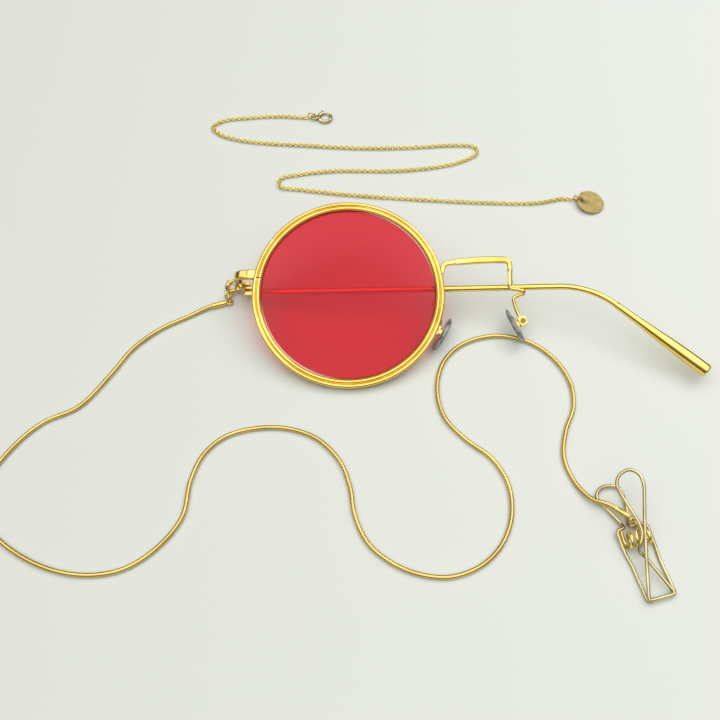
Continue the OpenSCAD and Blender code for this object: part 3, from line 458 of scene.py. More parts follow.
def lens_material():
    """Thin tinted plate: a clear red filter under a smooth, slightly cloudy surface, both paler at the near side as
    painted light.
    """
    mat, tree, shader = node_material("lens_red")
    # Painted light: the lens colours change with place, from the near side to the far side.
    away = across(tree, "Y", -0.022, 0.018)
    clear = tree.nodes.new("ShaderNodeBsdfTransparent")
    tree.links.new(ramp(tree, away, LENS_FILTER_WITH_PAINTED_LIGHT), clear.inputs["Color"])
    tree.links.new(ramp(tree, away, LENS_SURFACE_WITH_PAINTED_LIGHT), shader.inputs["Base Color"])
    shader.inputs["IOR"].default_value = 1.5
    tree.links.new(spread(tree, noise(tree, 60.0, 2.0), 0.04, 0.09), shader.inputs["Roughness"])
    bump(tree, shader, noise(tree, 40.0, 1.0), 0.05, 0.00001)
    mix = tree.nodes.new("ShaderNodeMixShader")
    mix.inputs["Fac"].default_value = CLOUDY
    tree.links.new(clear.outputs["BSDF"], mix.inputs[1])
    tree.links.new(shader.outputs["BSDF"], mix.inputs[2])
    tree.links.new(mix.outputs["Shader"], tree.nodes["Material Output"].inputs["Surface"])
    return mat


def lens_edge_material():
    """Ground bevel of the lens with a painted highlight set by place: near white at the upper right and the lower
    left, dark red elsewhere.
    """
    mat, tree, shader = node_material("lens_edge_painted_highlight")
    signed = []
    for source in (across(tree, "X", -0.0537, -0.0074), across(tree, "Y", -0.0216, 0.0220)):
        node = tree.nodes.new("ShaderNodeMath")
        node.operation = "SUBTRACT"
        node.inputs[1].default_value = 0.5
        tree.links.new(source, node.inputs[0])
        signed.append(node.outputs["Value"])
    product = tree.nodes.new("ShaderNodeMath")
    product.operation = "MULTIPLY"
    tree.links.new(signed[0], product.inputs[0])
    tree.links.new(signed[1], product.inputs[1])
    # Painted highlight: strongest where the bevel lies to the upper right or the lower left.
    light = between(tree, product.outputs["Value"], 0.02, 0.105)
    tree.links.new(ramp(tree, light, [(0.0, (0.34, 0.045, 0.04)), (1.0, (0.98, 0.86, 0.80))]),
                   shader.inputs["Base Color"])
    tree.links.new(spread(tree, noise(tree, 3000.0, 3.0), 0.25, 0.4), shader.inputs["Roughness"])
    return mat


def pad_material():
    """Grey silicone with darker clouds in it, under a shiny skin."""
    mat, tree, shader = node_material("silicone")
    tree.links.new(ramp(tree, noise(tree, 420.0, 3.0), [(0.36, (0.085, 0.092, 0.092)), (0.64, (0.38, 0.40, 0.395))]),
                   shader.inputs["Base Color"])
    tree.links.new(spread(tree, noise(tree, 900.0, 3.0), 0.16, 0.30), shader.inputs["Roughness"])
    shader.inputs["IOR"].default_value = 1.42
    shader.inputs["Subsurface Weight"].default_value = 0.25
    shader.inputs["Subsurface Radius"].default_value = (0.6, 0.6, 0.6)
    shader.inputs["Subsurface Scale"].default_value = 0.001
    shader.inputs["Coat Weight"].default_value = 1.0
    shader.inputs["Coat Roughness"].default_value = 0.04
    bump(tree, shader, noise(tree, 2000.0, 4.0), 0.2, 0.00002)
    return mat


LENS = lens_material()
LENS_EDGE_PAINTED_HIGHLIGHT = lens_edge_material()
SILICONE = pad_material()

# The front: rim and lens.

BEAD_R, BEAD_Z, GROOVE_DEEP, GROOVE_HALF = RIM_W / 4, RIM_HALF - 0.68, 0.75, 0.8

bm = bmesh.new()
profile = [(APERTURE, -GROOVE_HALF), (APERTURE, -RIM_HALF + 0.08), (APERTURE + 0.08, -RIM_HALF),
           (RIM_R - EDGE_CUT, -RIM_HALF), (RIM_R, -RIM_HALF + EDGE_CUT), (RIM_R, BEAD_Z - 0.05)]
profile += arc(BEAD_R, range(0, 166, 15), RIM_R - BEAD_R, BEAD_Z)
profile += arc(BEAD_R, range(15, 181, 15), APERTURE + BEAD_R, BEAD_Z + 0.05)
profile += [(APERTURE, GROOVE_HALF), (APERTURE + GROOVE_DEEP, 0.1), (APERTURE + GROOVE_DEEP, -0.1)]
gap = 360 * SPLIT / (2 * pi * RIM_R)
lathe(bm, profile, FRONT @ turn(180 - CLOSE_ANGLE, "Z"), 320, gap / 2, 360 - gap, True)
piece("v_rim", bm, GOLD, "front", "rim", sharp=50)

FACE_R, BODY_R, BEVEL_WIDE, BEVEL_DEEP = 600.0, APERTURE - 0.1, 0.3, 0.2


def lens_face(radii, middle):
    """Profile of one slightly domed face of the lens."""
    return [(r, middle - FACE_R + sqrt(FACE_R * FACE_R - r * r)) for r in radii]


bm = bmesh.new()
radii = [BODY_R * k / 24 for k in range(25)]
front_face = lens_face(radii[:-1] + [BODY_R - BEVEL_WIDE, BODY_R], LENS_MID + LENS_T / 2)
front_face[-1] = (BODY_R, front_face[-1][1] - BEVEL_DEEP)
back_face = lens_face(radii, LENS_MID - LENS_T / 2)
lathe(bm, front_face + [(APERTURE + 0.6, 0.0)] + back_face[::-1], FRONT, 192)
lens = piece("v_lens", bm, LENS, "front", "lens", sharp=30)
# The bevel ring takes the lens-edge material with its painted highlight.
lens.data.materials.append(LENS_EDGE_PAINTED_HIGHLIGHT)
to_lens = (TO_FRAME @ FRONT).inverted()
for face in lens.data.polygons:
    middle = to_lens @ face.center
    if BODY_R - BEVEL_WIDE + 0.02 < Vector((middle.x, middle.y)).length < BODY_R - 0.02 and middle.z > 0.3:
        face.material_index = 1

# The front: closing joint, strap and hinge.

ALONG_Y = turn(-90, "X")
CLOSE = FRONT @ turn(-CLOSE_ANGLE, "Z")
CLOSE_HALF, CLOSE_DEEP = 2.1, 2.1

bm = bmesh.new()
for low, high in ((SPLIT / 2, CLOSE_HALF), (-CLOSE_HALF, -SPLIT / 2)):
    block(bm, (-RIM_R + 0.15, low, -RIM_HALF - CLOSE_DEEP), (-APERTURE - 0.1, high, -RIM_HALF), CLOSE, 0.12)
piece("v_closing_block", bm, GOLD_SMALL, "front", "closing_block")

bm = bmesh.new()
screw = CLOSE @ at(-RIM_R + RIM_W / 2, 0, -RIM_HALF - CLOSE_DEEP / 2)
rod(bm, screw @ at(0, -CLOSE_HALF, 0) @ ALONG_Y, 0.45, 2 * CLOSE_HALF, 0.06, steps=24)
slotted_head(bm, screw @ at(0, CLOSE_HALF, 0) @ ALONG_Y, 0.8, 0.4, 0.24, 0.2)
piece("v_rim_screw", bm, GOLD_SCREW, "front", "rim_screw")


STRAP_V, STRAP_HALF, STRAP_TOP, STRAP_BEND = 5.225, 1.375, 0.6, 2.0
# Groove across the strap: distance from its middle, and top height there.
GROOVE = [(0.24, 0.72), (0.17, 0.68), (0.13, 0.44), (0.04, 0.38), (-0.04, 0.38), (-0.13, 0.44), (-0.17, 0.56),
          (-0.24, STRAP_TOP)]


def strap_stations():
    """Places along the strap: point of its middle line, outward normal, top height, and corner radius."""
    flat_end, end = STRAP_BEND - REACH, -HINGE_DEEP + KNUCKLE_R + PLAY
    groove = flat_end + 0.99
    tops = [(1.05, 0.64), (0.9, 0.72)] + [(groove + d, top) for d, top in GROOVE]
    out = [((x, 0.0), 90, top, 0.5) for x, top in tops]
    for k in range(19):
        t = 90 + 5 * k
        out.append((arc(STRAP_BEND, [t], flat_end, -STRAP_BEND)[0], t, STRAP_TOP, 0.5 + 0.24 * (k / 18) ** 2))
    out += [((-REACH, -STRAP_BEND + (end + STRAP_BEND) * u), 180, STRAP_TOP, 0.74) for u in (0.3, 0.6, 0.9, 0.97)]
    out.append(((-REACH, end), 180, 0.52, 0.66))
    return out


def strap_section(top, corner, half, low=0.6, inside=0.14):
    """Section of the strap: full round corners outside, small ones inside; x across, y outward."""
    outside = min(corner, top + low - 0.16)
    points = []
    for sx, sy, r, start in ((1, 1, outside, 0), (-1, 1, outside, 90), (-1, -1, inside, 180), (1, -1, inside, 270)):
        points += arc(r, [start + 15 * k for k in range(7)], sx * (half - r), top - r if sy > 0 else -low + r)
    return points


bm = bmesh.new()
rings = []
for (x, z), angle, top, corner in strap_stations():
    narrow = 0.2 * min(1.0, max(0.0, -x / 3.4))
    ring_points = [(-RIM_R + x + h * cos(radians(angle)), STRAP_V + w, z + h * sin(radians(angle)))
                   for w, h in strap_section(top, corner, STRAP_HALF - narrow)]
    rings.append([bm.verts.new(FRONT @ Vector(p)) for p in ring_points])
skin(bm, rings)
bm.faces.new(rings[0])
bm.faces.new(rings[-1][::-1])
piece("v_end_piece", bm, GOLD_HINGE, "front", "end_piece", sharp=50)

LEAF_NEAR, LEAF_FAR, LEAF_TALL = 0.6, 1.3, 2.75

bm = bmesh.new()
block(bm, (LEAF_NEAR, STACK_LOW, KNUCKLE_R + 0.15), (LEAF_FAR, STACK_HIGH + 0.1, KNUCKLE_R + LEAF_TALL), HINGE, 0.16)
for low, high in ((STACK_LOW, MID_LOW), (MID_HIGH, STACK_HIGH)):
    block(bm, (LEAF_NEAR, low, 0.0), (LEAF_FAR, high, KNUCKLE_R + 0.2), HINGE, 0.08)
    rod(bm, HINGE @ at(0, low, 0) @ ALONG_Y, KNUCKLE_R, high - low, 0.14)
piece("v_front_hinge", bm, GOLD_HINGE, "front", "front_hinge")

bm = bmesh.new()
rod(bm, HINGE @ at(0, STACK_LOW, 0) @ ALONG_Y, 0.55, STACK_HIGH - STACK_LOW, 0.05, steps=24)
slotted_head(bm, HINGE @ at(0, STACK_HIGH, 0) @ ALONG_Y, 0.95, 0.4, 0.26, 0.2)
piece("v_hinge_screw", bm, GOLD_SCREW, "front", "hinge_screw")

# The front: bridge and stub.


def band(bm, route, width, end_width, low, high, corner, place):
    """Flat bar with rounded edges along a route in the front's plane; its second half changes width."""
    n = len(route)
    rings = []
    for i in range(-1, n + 1):
        j = min(max(i, 0), n - 1)
        a = (route[j] - route[j - 1]).normalized() if j else (route[1] - route[0]).normalized()
        b = (route[j + 1] - route[j]).normalized() if j < n - 1 else a
        ahead = (a + b).normalized()
        side = Vector((-ahead.y, ahead.x, 0))
        cut = 0.12 if i in (-1, n) else 0.0
        middle = route[j] + ahead * (0.1 if i == 0 else -0.1 if i == n - 1 else 0.0)
        half = (width + (end_width - width) * max(0.0, (2 * j - n + 1) / (n - 1))) / 2 - cut
        ring = []
        for sx, sz, start in ((1, 1, 0), (-1, 1, 90), (-1, -1, 180), (1, -1, 270)):
            z = high - cut - corner if sz > 0 else low + cut + corner
            for x, y in arc(corner, [start + 18 * k for k in range(6)], sx * (half - corner), z):
                ring.append(bm.verts.new(place @ (middle + side * x + Vector((0, 0, y)))))
        rings.append(ring)
    skin(bm, rings)
    bm.faces.new(rings[0])
    bm.faces.new(rings[-1][::-1])


BAR_HALF = 0.675
BRIDGE = FRONT @ at(0, 0, -0.3)

bm = bmesh.new()
left_bar = soften([(24.35, 5.6, 0), (24.85, 8.3, 0), (28.0, 8.75, 0), (28.5, 8.8, 0)], 1.3, 8)
right_bar = soften([(28.0, 8.75, 0), (34.41, 9.32, 0), (42.0, 9.4, 0), (42.15, 6.65, 0)], 1.9, 10)
band(bm, left_bar, 1.35, 1.35, -BAR_HALF, 0.60, 0.36, BRIDGE)
band(bm, right_bar, 1.75, 1.3, -BAR_HALF, BAR_HALF, 0.42, BRIDGE)
piece("v_bridge", bm, GOLD_EDGE, "front", "bridge")

STUB = FRONT @ at(42.15, 0, -0.35)
STUB_TOP, STUB_R, NECK_R = 6.0, 0.76, 0.62

bm = bmesh.new()
rod(bm, STUB @ at(0, STUB_TOP, 0) @ ALONG_Y, STUB_R, 0.65, 0.12)
profile = [(0, 2.25), (0.55, 2.25), (STUB_R, 3.28), (STUB_R, 3.34), (NECK_R, 4.32), (NECK_R, 4.38),
           (0.74, STUB_TOP), (0, STUB_TOP)]
lathe(bm, profile, STUB @ ALONG_Y, 8)
piece("v_rim_stub", bm, GOLD, "front", "rim_stub", sharp=20)

# The front: pad arms, boxes, inserts and nose pads.

# Middle of each pad in the front's place, its turn in degrees, and the side it stands on.
PADS = {"right": (Vector((43.55, -7.6, -3.2)), 27.2, 1), "left": (Vector((24.4, -9.9, -3.2)), -31.3, -1)}
BOX_OUT, BOX_UP, BOX, BOX_WALL = 1.98, 0.7, (1.05, 1.2, 0.85), 0.35
ARM_R = 0.475
PAD_LONG, PAD_WIDE, PAD_BACK, PAD_NOSE = 5.2, 2.4, 0.6, 0.95


def beside(which):
    """Frame of a pad before it leans; the left one is mirrored."""
    centre, angle, hand = PADS[which]
    flip = Matrix.Scale(-1, 4, Vector((1, 0, 0))) if hand < 0 else Matrix()
    return FRONT @ at(*centre) @ flip @ turn(abs(angle), "Z")


def in_box(which):
    return beside(which) @ at(BOX_OUT, 0, BOX_UP)


def in_pad(which):
    return beside(which) @ turn(-15, "Y") @ turn(-12, "X")


def box_point(which, down):
    """Point on the line through a box, in the front's place."""
    centre, angle, hand = PADS[which]
    a = radians(abs(angle))
    return centre + Vector((hand * (BOX_OUT * cos(a) + down * sin(a)), BOX_OUT * sin(a) - down * cos(a), BOX_UP))


ARMS = {
    "right": [(42.15, 2.25, -0.35), (42.2, 1.55, -0.4), (44.0, 1.35, -0.5), (45.7, 1.0, -0.7), (45.8, 0.45, -1.3),
              (44.2, 0.1, -1.6), (42.95, -0.5, -1.8), (43.35, -2.3, -2.2)],
    "left": [(23.95, -1.1, -RIM_HALF), (23.95, -1.1, -2.2), (22.5, -1.3, -2.4), (22.2, -2.4, -2.3),
             (23.3, -4.3, -2.4)]}


def pad_form():
    """Drop-shaped silicone pad, thin at the edge and full in the middle, lying in local YZ."""
    part = bmesh.new()
    rings, spokes = 13, 48
    rows = []
    for side, full in ((1, PAD_BACK), (-1, PAD_NOSE)):
        for j in range(rings if side > 0 else rings - 1):
            t = sin(pi / 2 * (j if side > 0 else rings - 2 - j) / (rings - 1))
            lift = full * (1 - t ** 4) ** 0.5
            row = []
            for k in range(spokes):
                a = 2 * pi * k / spokes
                y = PAD_LONG * sin(a)
                z = PAD_WIDE * (1 - 0.1 * sin(a)) * cos(a) * (1 - 0.06 * cos(2 * a))
                row.append(part.verts.new((side * lift, y * t, z * t)))
            rows.append(row)
    skin(part, rows)
    return part


for which in ("left", "right"):
    place = in_box(which)

    bm = bmesh.new()
    arm = ARMS[which] + [box_point(which, -2.6), box_point(which, -1.2)]
    sweep(bm, soften(arm, 0.6, 8), ARM_R, 14, place=FRONT)
    piece("v_pad_arm_" + which, bm, GOLD, "front", "pad_arm_" + which)

    bm = bmesh.new()
    for low, high in ((-BOX[2], -0.4), (0.4, BOX[2])):
        block(bm, (-BOX[0], -BOX[1], low), (BOX[0], BOX[1], high), place, 0.12)
    block(bm, (BOX[0] - 0.45, -BOX[1], -0.6), (BOX[0], BOX[1], 0.6), place, 0.1)
    for low in (BOX[1] - BOX_WALL, -BOX[1]):
        block(bm, (-BOX[0], low, -0.6), (BOX[0], low + BOX_WALL, 0.6), place, 0.08)
    piece("v_pad_box_" + which, bm, GOLD_SMALL, "front", "pad_box_" + which)

    bm = bmesh.new()
    take(bm, pad_form())
    bm.transform(in_pad(which))
    piece("v_nose_pad_" + which, bm, SILICONE, "pad_" + which, "nose_pad_" + which, sharp=80)

    bm = bmesh.new()
    block(bm, (-BOX_OUT + 0.25, -0.55, -0.34), (-0.2, 0.55, 0.34), place, 0.08)
    lathe(bm, rod_profile(0.7, 0.68, 0.06, -0.34), place, 32)
    oval = arc(1.1, range(0, 360, 12))
    oval = [(x, y + (1.3 if y > 0 else -1.3)) for x, y in oval]
    prism(bm, oval, 0.2, 0.66, in_pad(which) @ turn(90, "Y"), 0.08)
    piece("v_pad_insert_" + which, bm, GOLD_SMALL, "pad_" + which, "pad_insert_" + which)

bm = bmesh.new()
for which in ("left", "right"):
    rod(bm, in_box(which) @ at(0, 0, -BOX[2] - 0.01), 0.35, 2 * BOX[2], 0.04, steps=24)
    slotted_head(bm, in_box(which) @ at(0, 0, BOX[2]), 0.75, 0.3, 0.22, 0.18)
piece("v_pad_screws", bm, PAD_SCREW_PAINTED_SHADE, "front", "pad_screws")

# The temple.

bm = bmesh.new()
knuckle_low, knuckle_high = MID_LOW - TEMPLE_V + PLAY, MID_HIGH - TEMPLE_V - PLAY
rod(bm, TEMPLE @ at(0, knuckle_low, 0) @ ALONG_Y, KNUCKLE_R, knuckle_high - knuckle_low, 0.1)
block(bm, (0, knuckle_low, -KNUCKLE_R), (2.2, knuckle_high, 0.8), TEMPLE, 0.1)
block(bm, (1.7, 1.4 - TEMPLE_V, -BLOCK_HALF), (4.5, 4.0 - TEMPLE_V, BLOCK_HALF), TEMPLE, 0.3)
block(bm, (1.7, 4.0 - TEMPLE_V - 0.3, -BLOCK_HALF), (3.1, knuckle_high, BLOCK_HALF), TEMPLE, 0.16)
piece("v_temple_hinge", bm, GOLD_HINGE, "temple", "temple_hinge")

BAR_R, ROOT_R = 0.8, 1.2
ROOT_FROM, ROOT_FULL, ROOT_TO = 4.5, 5.7, 60.0
CORE_RUN, TAPER_RUN, SLEEVE_R, SLEEVE_ROUND = 24.0, 24.0, 1.74, 0.6


def bar_radius(x):
    """The bar swells past the hinge block, then tapers to its round gauge."""
    if x < ROOT_FULL:
        return BAR_R + (ROOT_R - BAR_R) * max(0.0, (x - ROOT_FROM) / (ROOT_FULL - ROOT_FROM)) ** 0.6
    return BAR_R + (ROOT_R - BAR_R) * max(0.0, (ROOT_TO - x) / (ROOT_TO - ROOT_FULL))


bm = bmesh.new()
ear = radians(EAR_ANGLE)
route = [(x, 0, 0) for x in (2.2, 4.4, 4.6, 4.9, 5.2, 5.5, 5.8, 6.3, 7.0)]
route += [(7.0 + (STRAIGHT - 7.0) * k / 30, 0, 0) for k in range(1, 30)]
route += [(STRAIGHT + EAR_R * sin(ear * k / 24), -EAR_R * (1 - cos(ear * k / 24)), 0) for k in range(25)]
route += [(STRAIGHT + EAR_R * sin(ear) + CORE_RUN * cos(ear), -EAR_R * (1 - cos(ear)) - CORE_RUN * sin(ear), 0)]
sweep(bm, route, [bar_radius(p[0]) for p in route], 24, place=TEMPLE)
piece("v_temple_bar", bm, GOLD, "temple", "temple_bar")

bm = bmesh.new()
mouth, lip = 0.9, 0.08
profile = [(BAR_R, 0.0), (0.86, 0.0), (mouth, lip)]
for k in range(1, 17):
    u = k / 16
    profile.append((mouth + (SLEEVE_R - mouth) * u ** 2 * (3 - 2 * u), lip + (TAPER_RUN - lip) * u))
profile += [(SLEEVE_R, TIP_RUN - SLEEVE_ROUND)]
profile += arc(SLEEVE_ROUND, (18, 36, 54, 72, 90), SLEEVE_R - SLEEVE_ROUND, TIP_RUN - SLEEVE_ROUND)
profile += [(0, TIP_RUN)]
lathe(bm, profile, PAST_BEND @ turn(90, "Y"), 40)
piece("v_temple_sleeve", bm, GOLD, "temple", "temple_sleeve", sharp=60)

# Eyelet, clasps and links.

EYELET_AT = HINGE_AT + Vector((-0.19, 2.83, -1.87))

bm = bmesh.new()
lobe = EYELET_AT + 0.97 * Vector((cos(radians(LEAN)), -sin(radians(LEAN)), 0))
foot, knee = [TEMPLE @ Vector((2.6, 2.2, -BLOCK_HALF + z)) for z in (0.1, -0.9)]
sweep(bm, soften([foot, knee, lobe], 0.5), 0.33, 12)
torus(bm, at(*EYELET_AT) @ turn(-LEAN, "Z") @ turn(-90, "X"), 0.95, 0.28, 40, 12)
piece("v_chain_eyelet", bm, GOLD_SMALL, "temple", "chain_eyelet")


def clasp_body(place, base):
    """Open ring of tube with its eye; base is the eye's angle."""
    bm = bmesh.new()
    tube = [(x, y, 0) for x, y in arc(CLASP_R, range(95, 396, 5))]
    sweep(bm, tube, [0.47] + [CLASP_TUBE] * (len(tube) - 2) + [0.47], 16, place=place)
    torus(bm, place @ turn(base, "Z") @ at(3.25, 0, 0), 0.85, 0.28, 36, 12)
    return bm


def clasp_slider(place):
    """Curved bolt of a clasp, with the nub that a thumb draws back."""
    bm = bmesh.new()
    bolt = [(x, y, 0) for x, y in arc(CLASP_R, [33 + 119 * k / 30 for k in range(31)])]
    sweep(bm, bolt, BOLT_R, 12, place=place)
    ball = [(0.27 * sin(radians(t)), 0.95 - 0.27 * cos(radians(t))) for t in range(48, 169, 12)]
    nub = place @ turn(110, "Z") @ at(CLASP_R, 0, 0) @ turn(90, "Y")
    lathe(bm, [(0, 0), (0.2, 0), (0.2, 0.72)] + ball + [(0, 1.22)], nub, 20)
    return bm


def ring(place, r, wire):
    bm = bmesh.new()
    torus(bm, place, r, wire, 44, 12)
    return bm


clasp_ring = piece("v_clasp_ring", clasp_body(CLASP, CLASP_BASE), GOLD_SMALL, "temple", "clasp_ring")
clasp_bolt = piece("v_clasp_bolt", clasp_slider(CLASP), GOLD_SMALL, "clasp_slider", "clasp_bolt")
clasp_link = piece("v_clasp_link", ring(at(-62.630, 4.628, 1.54) @ turn(-77, "Z") @ turn(90, "X"), 1.25, 0.28),
                   GOLD_SMALL, "temple", "clasp_link")
spare_ring = piece("v_spare_clasp_ring", clasp_body(SPARE, SPARE_BASE), CLIP_WIRE, "temple", "spare_clasp_ring")
spare_bolt = piece("v_spare_clasp_bolt", clasp_slider(SPARE), CLIP_WIRE, "spare_slider", "spare_clasp_bolt")
spare_link = piece("v_spare_link", ring(at(-42.25, 73.5, 1.31) @ turn(90, "X"), *SMALL_RING),
                   GOLD_SMALL, "temple", "spare_link")

# Caps and the snake chain.

CAP_R, SCALE_PITCH = 0.75, 0.7


def chain_cap(place):
    """Turned cap with two grooves and an eye."""
    bm = bmesh.new()
    torus(bm, place, 0.75, 0.22, 32, 12)
    profile = [(0, 0.12), (0.55, 0.12), (0.66, 0.2), (0.66, 0.55), (CAP_R, 0.62), (CAP_R, 3.0), (0.71, 3.08),
               (0.71, 3.2), (CAP_R, 3.28), (CAP_R, 3.92), (0.68, 4.0), (0.6, 4.0)]
    lathe(bm, profile, place @ at(0.75, 0, 0) @ turn(90, "Y"), 32)
    return bm


cap_top = piece("v_snake_cap_top", chain_cap(at(*CAP_TOP_AT) @ turn(CAP_TOP_TURN, "Z")), GOLD_SMALL, "temple",
                "snake_cap_top", sharp=30)
cap_clip = piece("v_snake_cap_clip", chain_cap(at(*CAP_CLIP_AT) @ turn(CAP_CLIP_TURN, "Z")), GOLD_SMALL, "temple",
                 "snake_cap_clip", sharp=30)


def scales(s, a):
    """Oblique overlapping scales of a snake chain, as a small change of radius."""
    phase = (s / SCALE_PITCH + 0.5 * abs(a / pi - 1)) % 1.0
    return SNAKE_R * (1.0 - 0.13 * (1.0 - phase) ** 2)


snake_line, snake_length = even(spline(SNAKE_ROUTE, 0.5), SCALE_PITCH / 4)
bm = bmesh.new()
sweep(bm, snake_line, SNAKE_R, 12, shape=scales)
snake = piece("v_snake_chain", bm, GOLD_SNAKE, "temple", "snake_chain", sharp=60)

# The wire clip.

WIRE_R = 0.425
COIL_R, COIL_OUT, COIL_IN, CROSS_Y, CROSS_Z, BIGHT_Y = 1.75, 2.8, 0.7, 3.2, 1.55, 0.4
COIL_Z = COIL_R + WIRE_R + 0.01
JAW, HALF, SIDE = 14.1, 3.4, COIL_OUT + 2 * WIRE_R + 0.1
# Heights of the lower lever, of the upper lever's jaw above it, and of the upper lever over the coil.
Z0, Z1, OVER = WIRE_R + 0.01, 3 * WIRE_R + 0.03, COIL_Z + COIL_R + 2 * WIRE_R + 0.03
CORNER, LOOP_CORNER = 0.85, 1.4

frame_wire = [(-0.075, -JAW, Z0), (-HALF, -JAW, Z0), (-HALF, -5, Z0), (-SIDE, -2.6, Z0), (-SIDE, 2.2, 1.2),
              (-SIDE + 0.3, CROSS_Y, CROSS_Z), (-1.75, CROSS_Y, CROSS_Z), (-1.75, CROSS_Y + 1.2, 0.9),
              (-4.9, 12.3, Z0 + 0.35), (-3.5, 14.2, Z0 + 0.4), (-0.9, 14.6, Z0 + 0.4), (1.6, 13.4, Z0 + 0.4),
              (1.55, 10.6, Z0 + 0.3), (0.7, 5.6, Z0), (-0.35, 4.5, Z0 + 0.1), (-0.2, CROSS_Y + 0.15, CROSS_Z - 0.15),
              (0.55, CROSS_Y, CROSS_Z), (SIDE - 0.3, CROSS_Y, CROSS_Z), (SIDE, 2.2, 1.2), (SIDE, -2.6, Z0),
              (HALF, -5, Z0), (HALF, -JAW, Z0), (0.075, -JAW, Z0)]
frame_cuts = [LOOP_CORNER if 7 < i < 13 else CORNER for i in range(len(frame_wire))]
bm = bmesh.new()
sweep(bm, soften(frame_wire, frame_cuts, 10), WIRE_R, 14, place=CLIP)
clip_frame = piece("v_clip_frame", bm, CLIP_WIRE, "temple", "clip_frame", sharp=60)

# Each end of the coil's wire leaves it straight towards the lower lever's crossbar, at this angle.
span = sqrt(CROSS_Y ** 2 + (COIL_Z - CROSS_Z) ** 2)
leave = asin(COIL_R / span) - atan2(COIL_Z - CROSS_Z, CROSS_Y)
turns = 1.5 + leave / (2 * pi)
tail = sqrt(span * span - COIL_R * COIL_R) - WIRE_R - 0.01


def coil_point(x, a):
    return Vector((x, COIL_R * sin(a), COIL_Z - COIL_R * cos(a)))


away = Vector((0, cos(leave), sin(leave)))
half = [coil_point(COIL_OUT, leave) + s * away for s in (tail, 0.4)]
half += [coil_point(COIL_OUT - k / 40 * (COIL_OUT - COIL_IN), leave - 2 * pi * turns * k / 40) for k in range(41)]
bight = [Vector((x, y, COIL_Z + COIL_R)) for x, y in arc(COIL_IN, range(12, 169, 12), 0.0, BIGHT_Y)]
bm = bmesh.new()
sweep(bm, half + bight + [Vector((-p.x, p.y, p.z)) for p in half[::-1]], WIRE_R, 12, place=CLIP)
clip_coil = piece("v_clip_coil", bm, CLIP_SPRING, "temple", "clip_coil", sharp=60)

lever_wire = [(0.225, -JAW, Z1), (-HALF, -JAW, Z1), (-0.2, -3.6, OVER - 0.55), (0.6, -1.2, OVER + 0.16),
              (1.6, 1.6, OVER + 0.36), (4.95, 10.2, OVER + 1.9), (5.1, 12.9, OVER + 2.2), (3.3, 14.8, OVER + 2.4),
              (0.3, 14.2, OVER + 2.3), (-1.45, 12.1, OVER + 2.1), (-1.0, 9.2, OVER + 1.6), (0.35, 2.8, OVER + 0.72),
              (0.5, 0.4, OVER + 0.3), (-0.55, -1.7, OVER - 0.22), (-1.7, -3.1, OVER - 1.6), (-0.4, -4.9, OVER - 2.2),
              (HALF - 0.3, -JAW, Z1), (0.375, -JAW, Z1)]
lever_cuts = [LOOP_CORNER if 4 < i < 10 else CORNER for i in range(len(lever_wire))]
bm = bmesh.new()
sweep(bm, soften(lever_wire, lever_cuts, 10), WIRE_R, 14, place=CLIP)
clip_lever = piece("v_clip_lever", bm, CLIP_WIRE, "clip_upper", "clip_lever", sharp=60)
clip_link = piece("v_clip_link", ring(CLIP @ at(1.0, CROSS_Y + 0.42, 1.45) @ turn(90, "Y"), *SMALL_RING),
                  GOLD_SMALL, "temple", "clip_link")

# The spare chain of links, and the tag.

LINK_PITCH, LINK_WIRE, LINK_HALF = 0.86, 0.19, 0.46
fine_line, fine_length = even(spline(FINE_ROUTE, 0.25), LINK_PITCH)
bm = bmesh.new()
loop = []
for k in range(16):
    a = 2 * pi * k / 16
    loop.append(((LINK_PITCH / 2 + LINK_WIRE * 0.95) * cos(a) * (1 + 0.08 * sin(a) ** 2), LINK_HALF * sin(a)))
for i, (p, q) in enumerate(zip(fine_line, fine_line[1:])):
    ahead = (q - p).normalized()
    flat = Vector((0, 0, 1)).cross(ahead).normalized()
    roll = radians(45 if i % 2 else -45)
    side = flat * cos(roll) + Vector((0, 0, 1)) * sin(roll)
    mid = (p + q) / 2
    sweep(bm, [mid + ahead * x + side * y for x, y in loop], LINK_WIRE, 6, True)
fine = piece("v_fine_chain", bm, GOLD_FINE, "temple", "fine_chain", sharp=80)

TAG_R, TAG_HALF, TAG_TURN, TAG_LEAN = 4.0, 0.3, -15.4, 8
HOLE_R, HOLE_IN, FACE_Z, BORDER = 0.6, 1.15, 0.24, 0.45
TAG_RING_AT = Vector((35.32, 39.94, 1.35))
tag_ring = piece("v_tag_ring", ring(at(*TAG_RING_AT) @ turn(TAG_TURN, "Z") @ turn(90, "X"), *SMALL_RING), GOLD_SMALL,
                 "temple", "tag_ring")
lean = radians(TAG_LEAN)
hole_z = (2 * TAG_R - HOLE_IN) * sin(lean) + TAG_HALF * cos(lean) + 0.01
hole_out = sqrt(SMALL_RING[0] ** 2 - (hole_z - TAG_RING_AT.z) ** 2)
TAG = (at(TAG_RING_AT.x, TAG_RING_AT.y, hole_z) @ turn(TAG_TURN, "Z") @ at(hole_out, 0, 0) @ turn(TAG_LEAN, "Y")
       @ at(TAG_R - HOLE_IN, 0, 0))


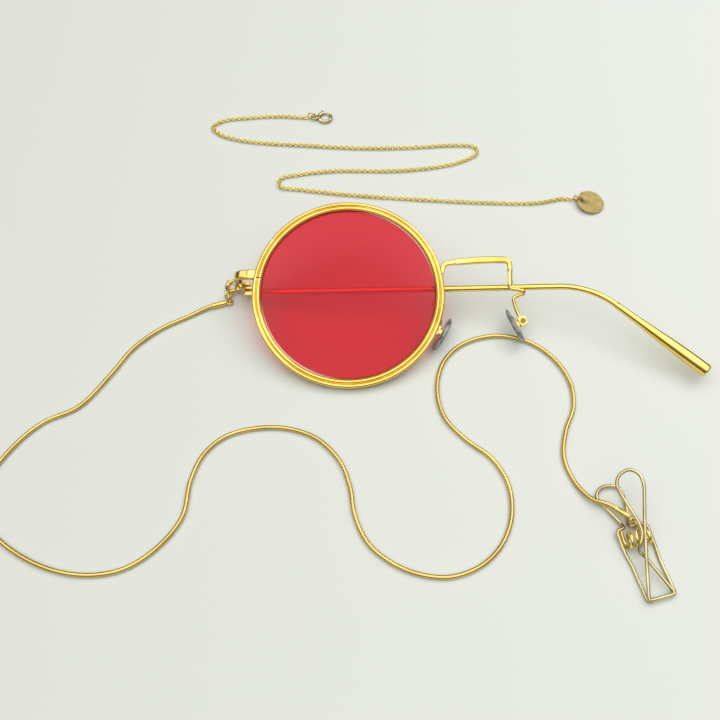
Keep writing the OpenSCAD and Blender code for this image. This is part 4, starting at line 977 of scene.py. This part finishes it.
def tag_form():
    """Round disc with a hole near its edge and a narrow raised border; both faces are left bare."""
    part = bmesh.new()

    def circle(r, z, x=0.0):
        return [Vector((px, py, z)) for px, py in arc(r, range(0, 360, 5), x)]

    rows = [circle(r, z) for r, z in ((TAG_R, 0.22), (TAG_R - 0.07, TAG_HALF), (TAG_R - BORDER + 0.07, TAG_HALF))]
    border, edge = circle(TAG_R - BORDER, FACE_Z), circle(HOLE_R + 0.08, FACE_Z, HOLE_IN - TAG_R)
    rows += [[a.lerp(b, t) for a, b in zip(border, edge)] for t in (0, 0.33, 0.66, 1)]
    rows.append(circle(HOLE_R, 0.18, HOLE_IN - TAG_R))
    rows += [[Vector((p.x, p.y, -p.z)) for p in row] for row in rows[::-1]]
    skin(part, [[part.verts.new(p) for p in row] for row in rows], True)
    return part


bm = bmesh.new()
take(bm, tag_form())
bm.transform(TAG)
tag = piece("v_tag", bm, TAG_FACE, "tag", "tag", sharp=40)

# Floor and light.

FLOOR_HALF = 3
# Colour of the table from left to right: its pale tone with painted light, brighter towards the right.
FLOOR_COLOURS_WITH_PAINTED_LIGHT = [(0.0, (0.725, 0.745, 0.70)), (1.0, (0.80, 0.825, 0.785))]
# Light of the studio by height, from straight below, through the horizon at 0, to straight above.
SKY_LIGHT = 1.78
SKY = [(0.0, (0.14, 0.14, 0.13)), (0.2, (0.03, 0.03, 0.025)), (0.55, (0.15, 0.15, 0.14)), (0.72, (0.42, 0.42, 0.41)),
       (0.84, (0.97, 0.97, 0.955)), (1.0, (1.0, 1.0, 0.985))]

floor_mesh = bpy.data.meshes.new("floor")
corners = [(x * FLOOR_HALF, y * FLOOR_HALF, 0) for x, y in ((-1, -1), (1, -1), (1, 1), (-1, 1))]
floor_mesh.from_pydata(corners, [], [(0, 1, 2, 3)])
floor = bpy.data.objects.new("floor", floor_mesh)
bpy.context.scene.collection.objects.link(floor)
mat, tree, shader = node_material("floor")
tree.links.new(ramp(tree, across(tree, "X", -0.13, 0.08), FLOOR_COLOURS_WITH_PAINTED_LIGHT), shader.inputs["Base Color"])
tree.links.new(spread(tree, noise(tree, 40.0, 3.0), 0.5, 0.65), shader.inputs["Roughness"])
shader.inputs["Specular IOR Level"].default_value = 0.25
floor_mesh.materials.append(mat)

world = bpy.data.worlds.new("studio")
bpy.context.scene.world = world
world.use_nodes = True
tree = world.node_tree
back = tree.nodes["Background"]
coord = tree.nodes.new("ShaderNodeTexCoord")
parts = tree.nodes.new("ShaderNodeSeparateXYZ")
tree.links.new(coord.outputs["Generated"], parts.inputs["Vector"])
tree.links.new(ramp(tree, parts.outputs["Z"], SKY), back.inputs["Color"])
back.inputs["Strength"].default_value = SKY_LIGHT


def softbox(name, place, size, power, colour):
    """Rectangular lamp that looks at the middle of the scene."""
    data = bpy.data.lights.new(name, "AREA")
    data.shape = "RECTANGLE"
    data.size, data.size_y = size
    data.energy = power
    data.color = colour
    ob = bpy.data.objects.new(name, data)
    ob.location = place
    ob.rotation_euler = (-Vector(place)).to_track_quat("-Z", "Y").to_euler()
    bpy.context.scene.collection.objects.link(ob)


softbox("key", (0.55, 0.45, 0.75), (0.45, 0.35), 1.5, (1.0, 1.0, 0.98))
softbox("fill", (-0.7, -0.1, 0.6), (0.3, 0.4), 0.3, (0.98, 1.0, 1.0))
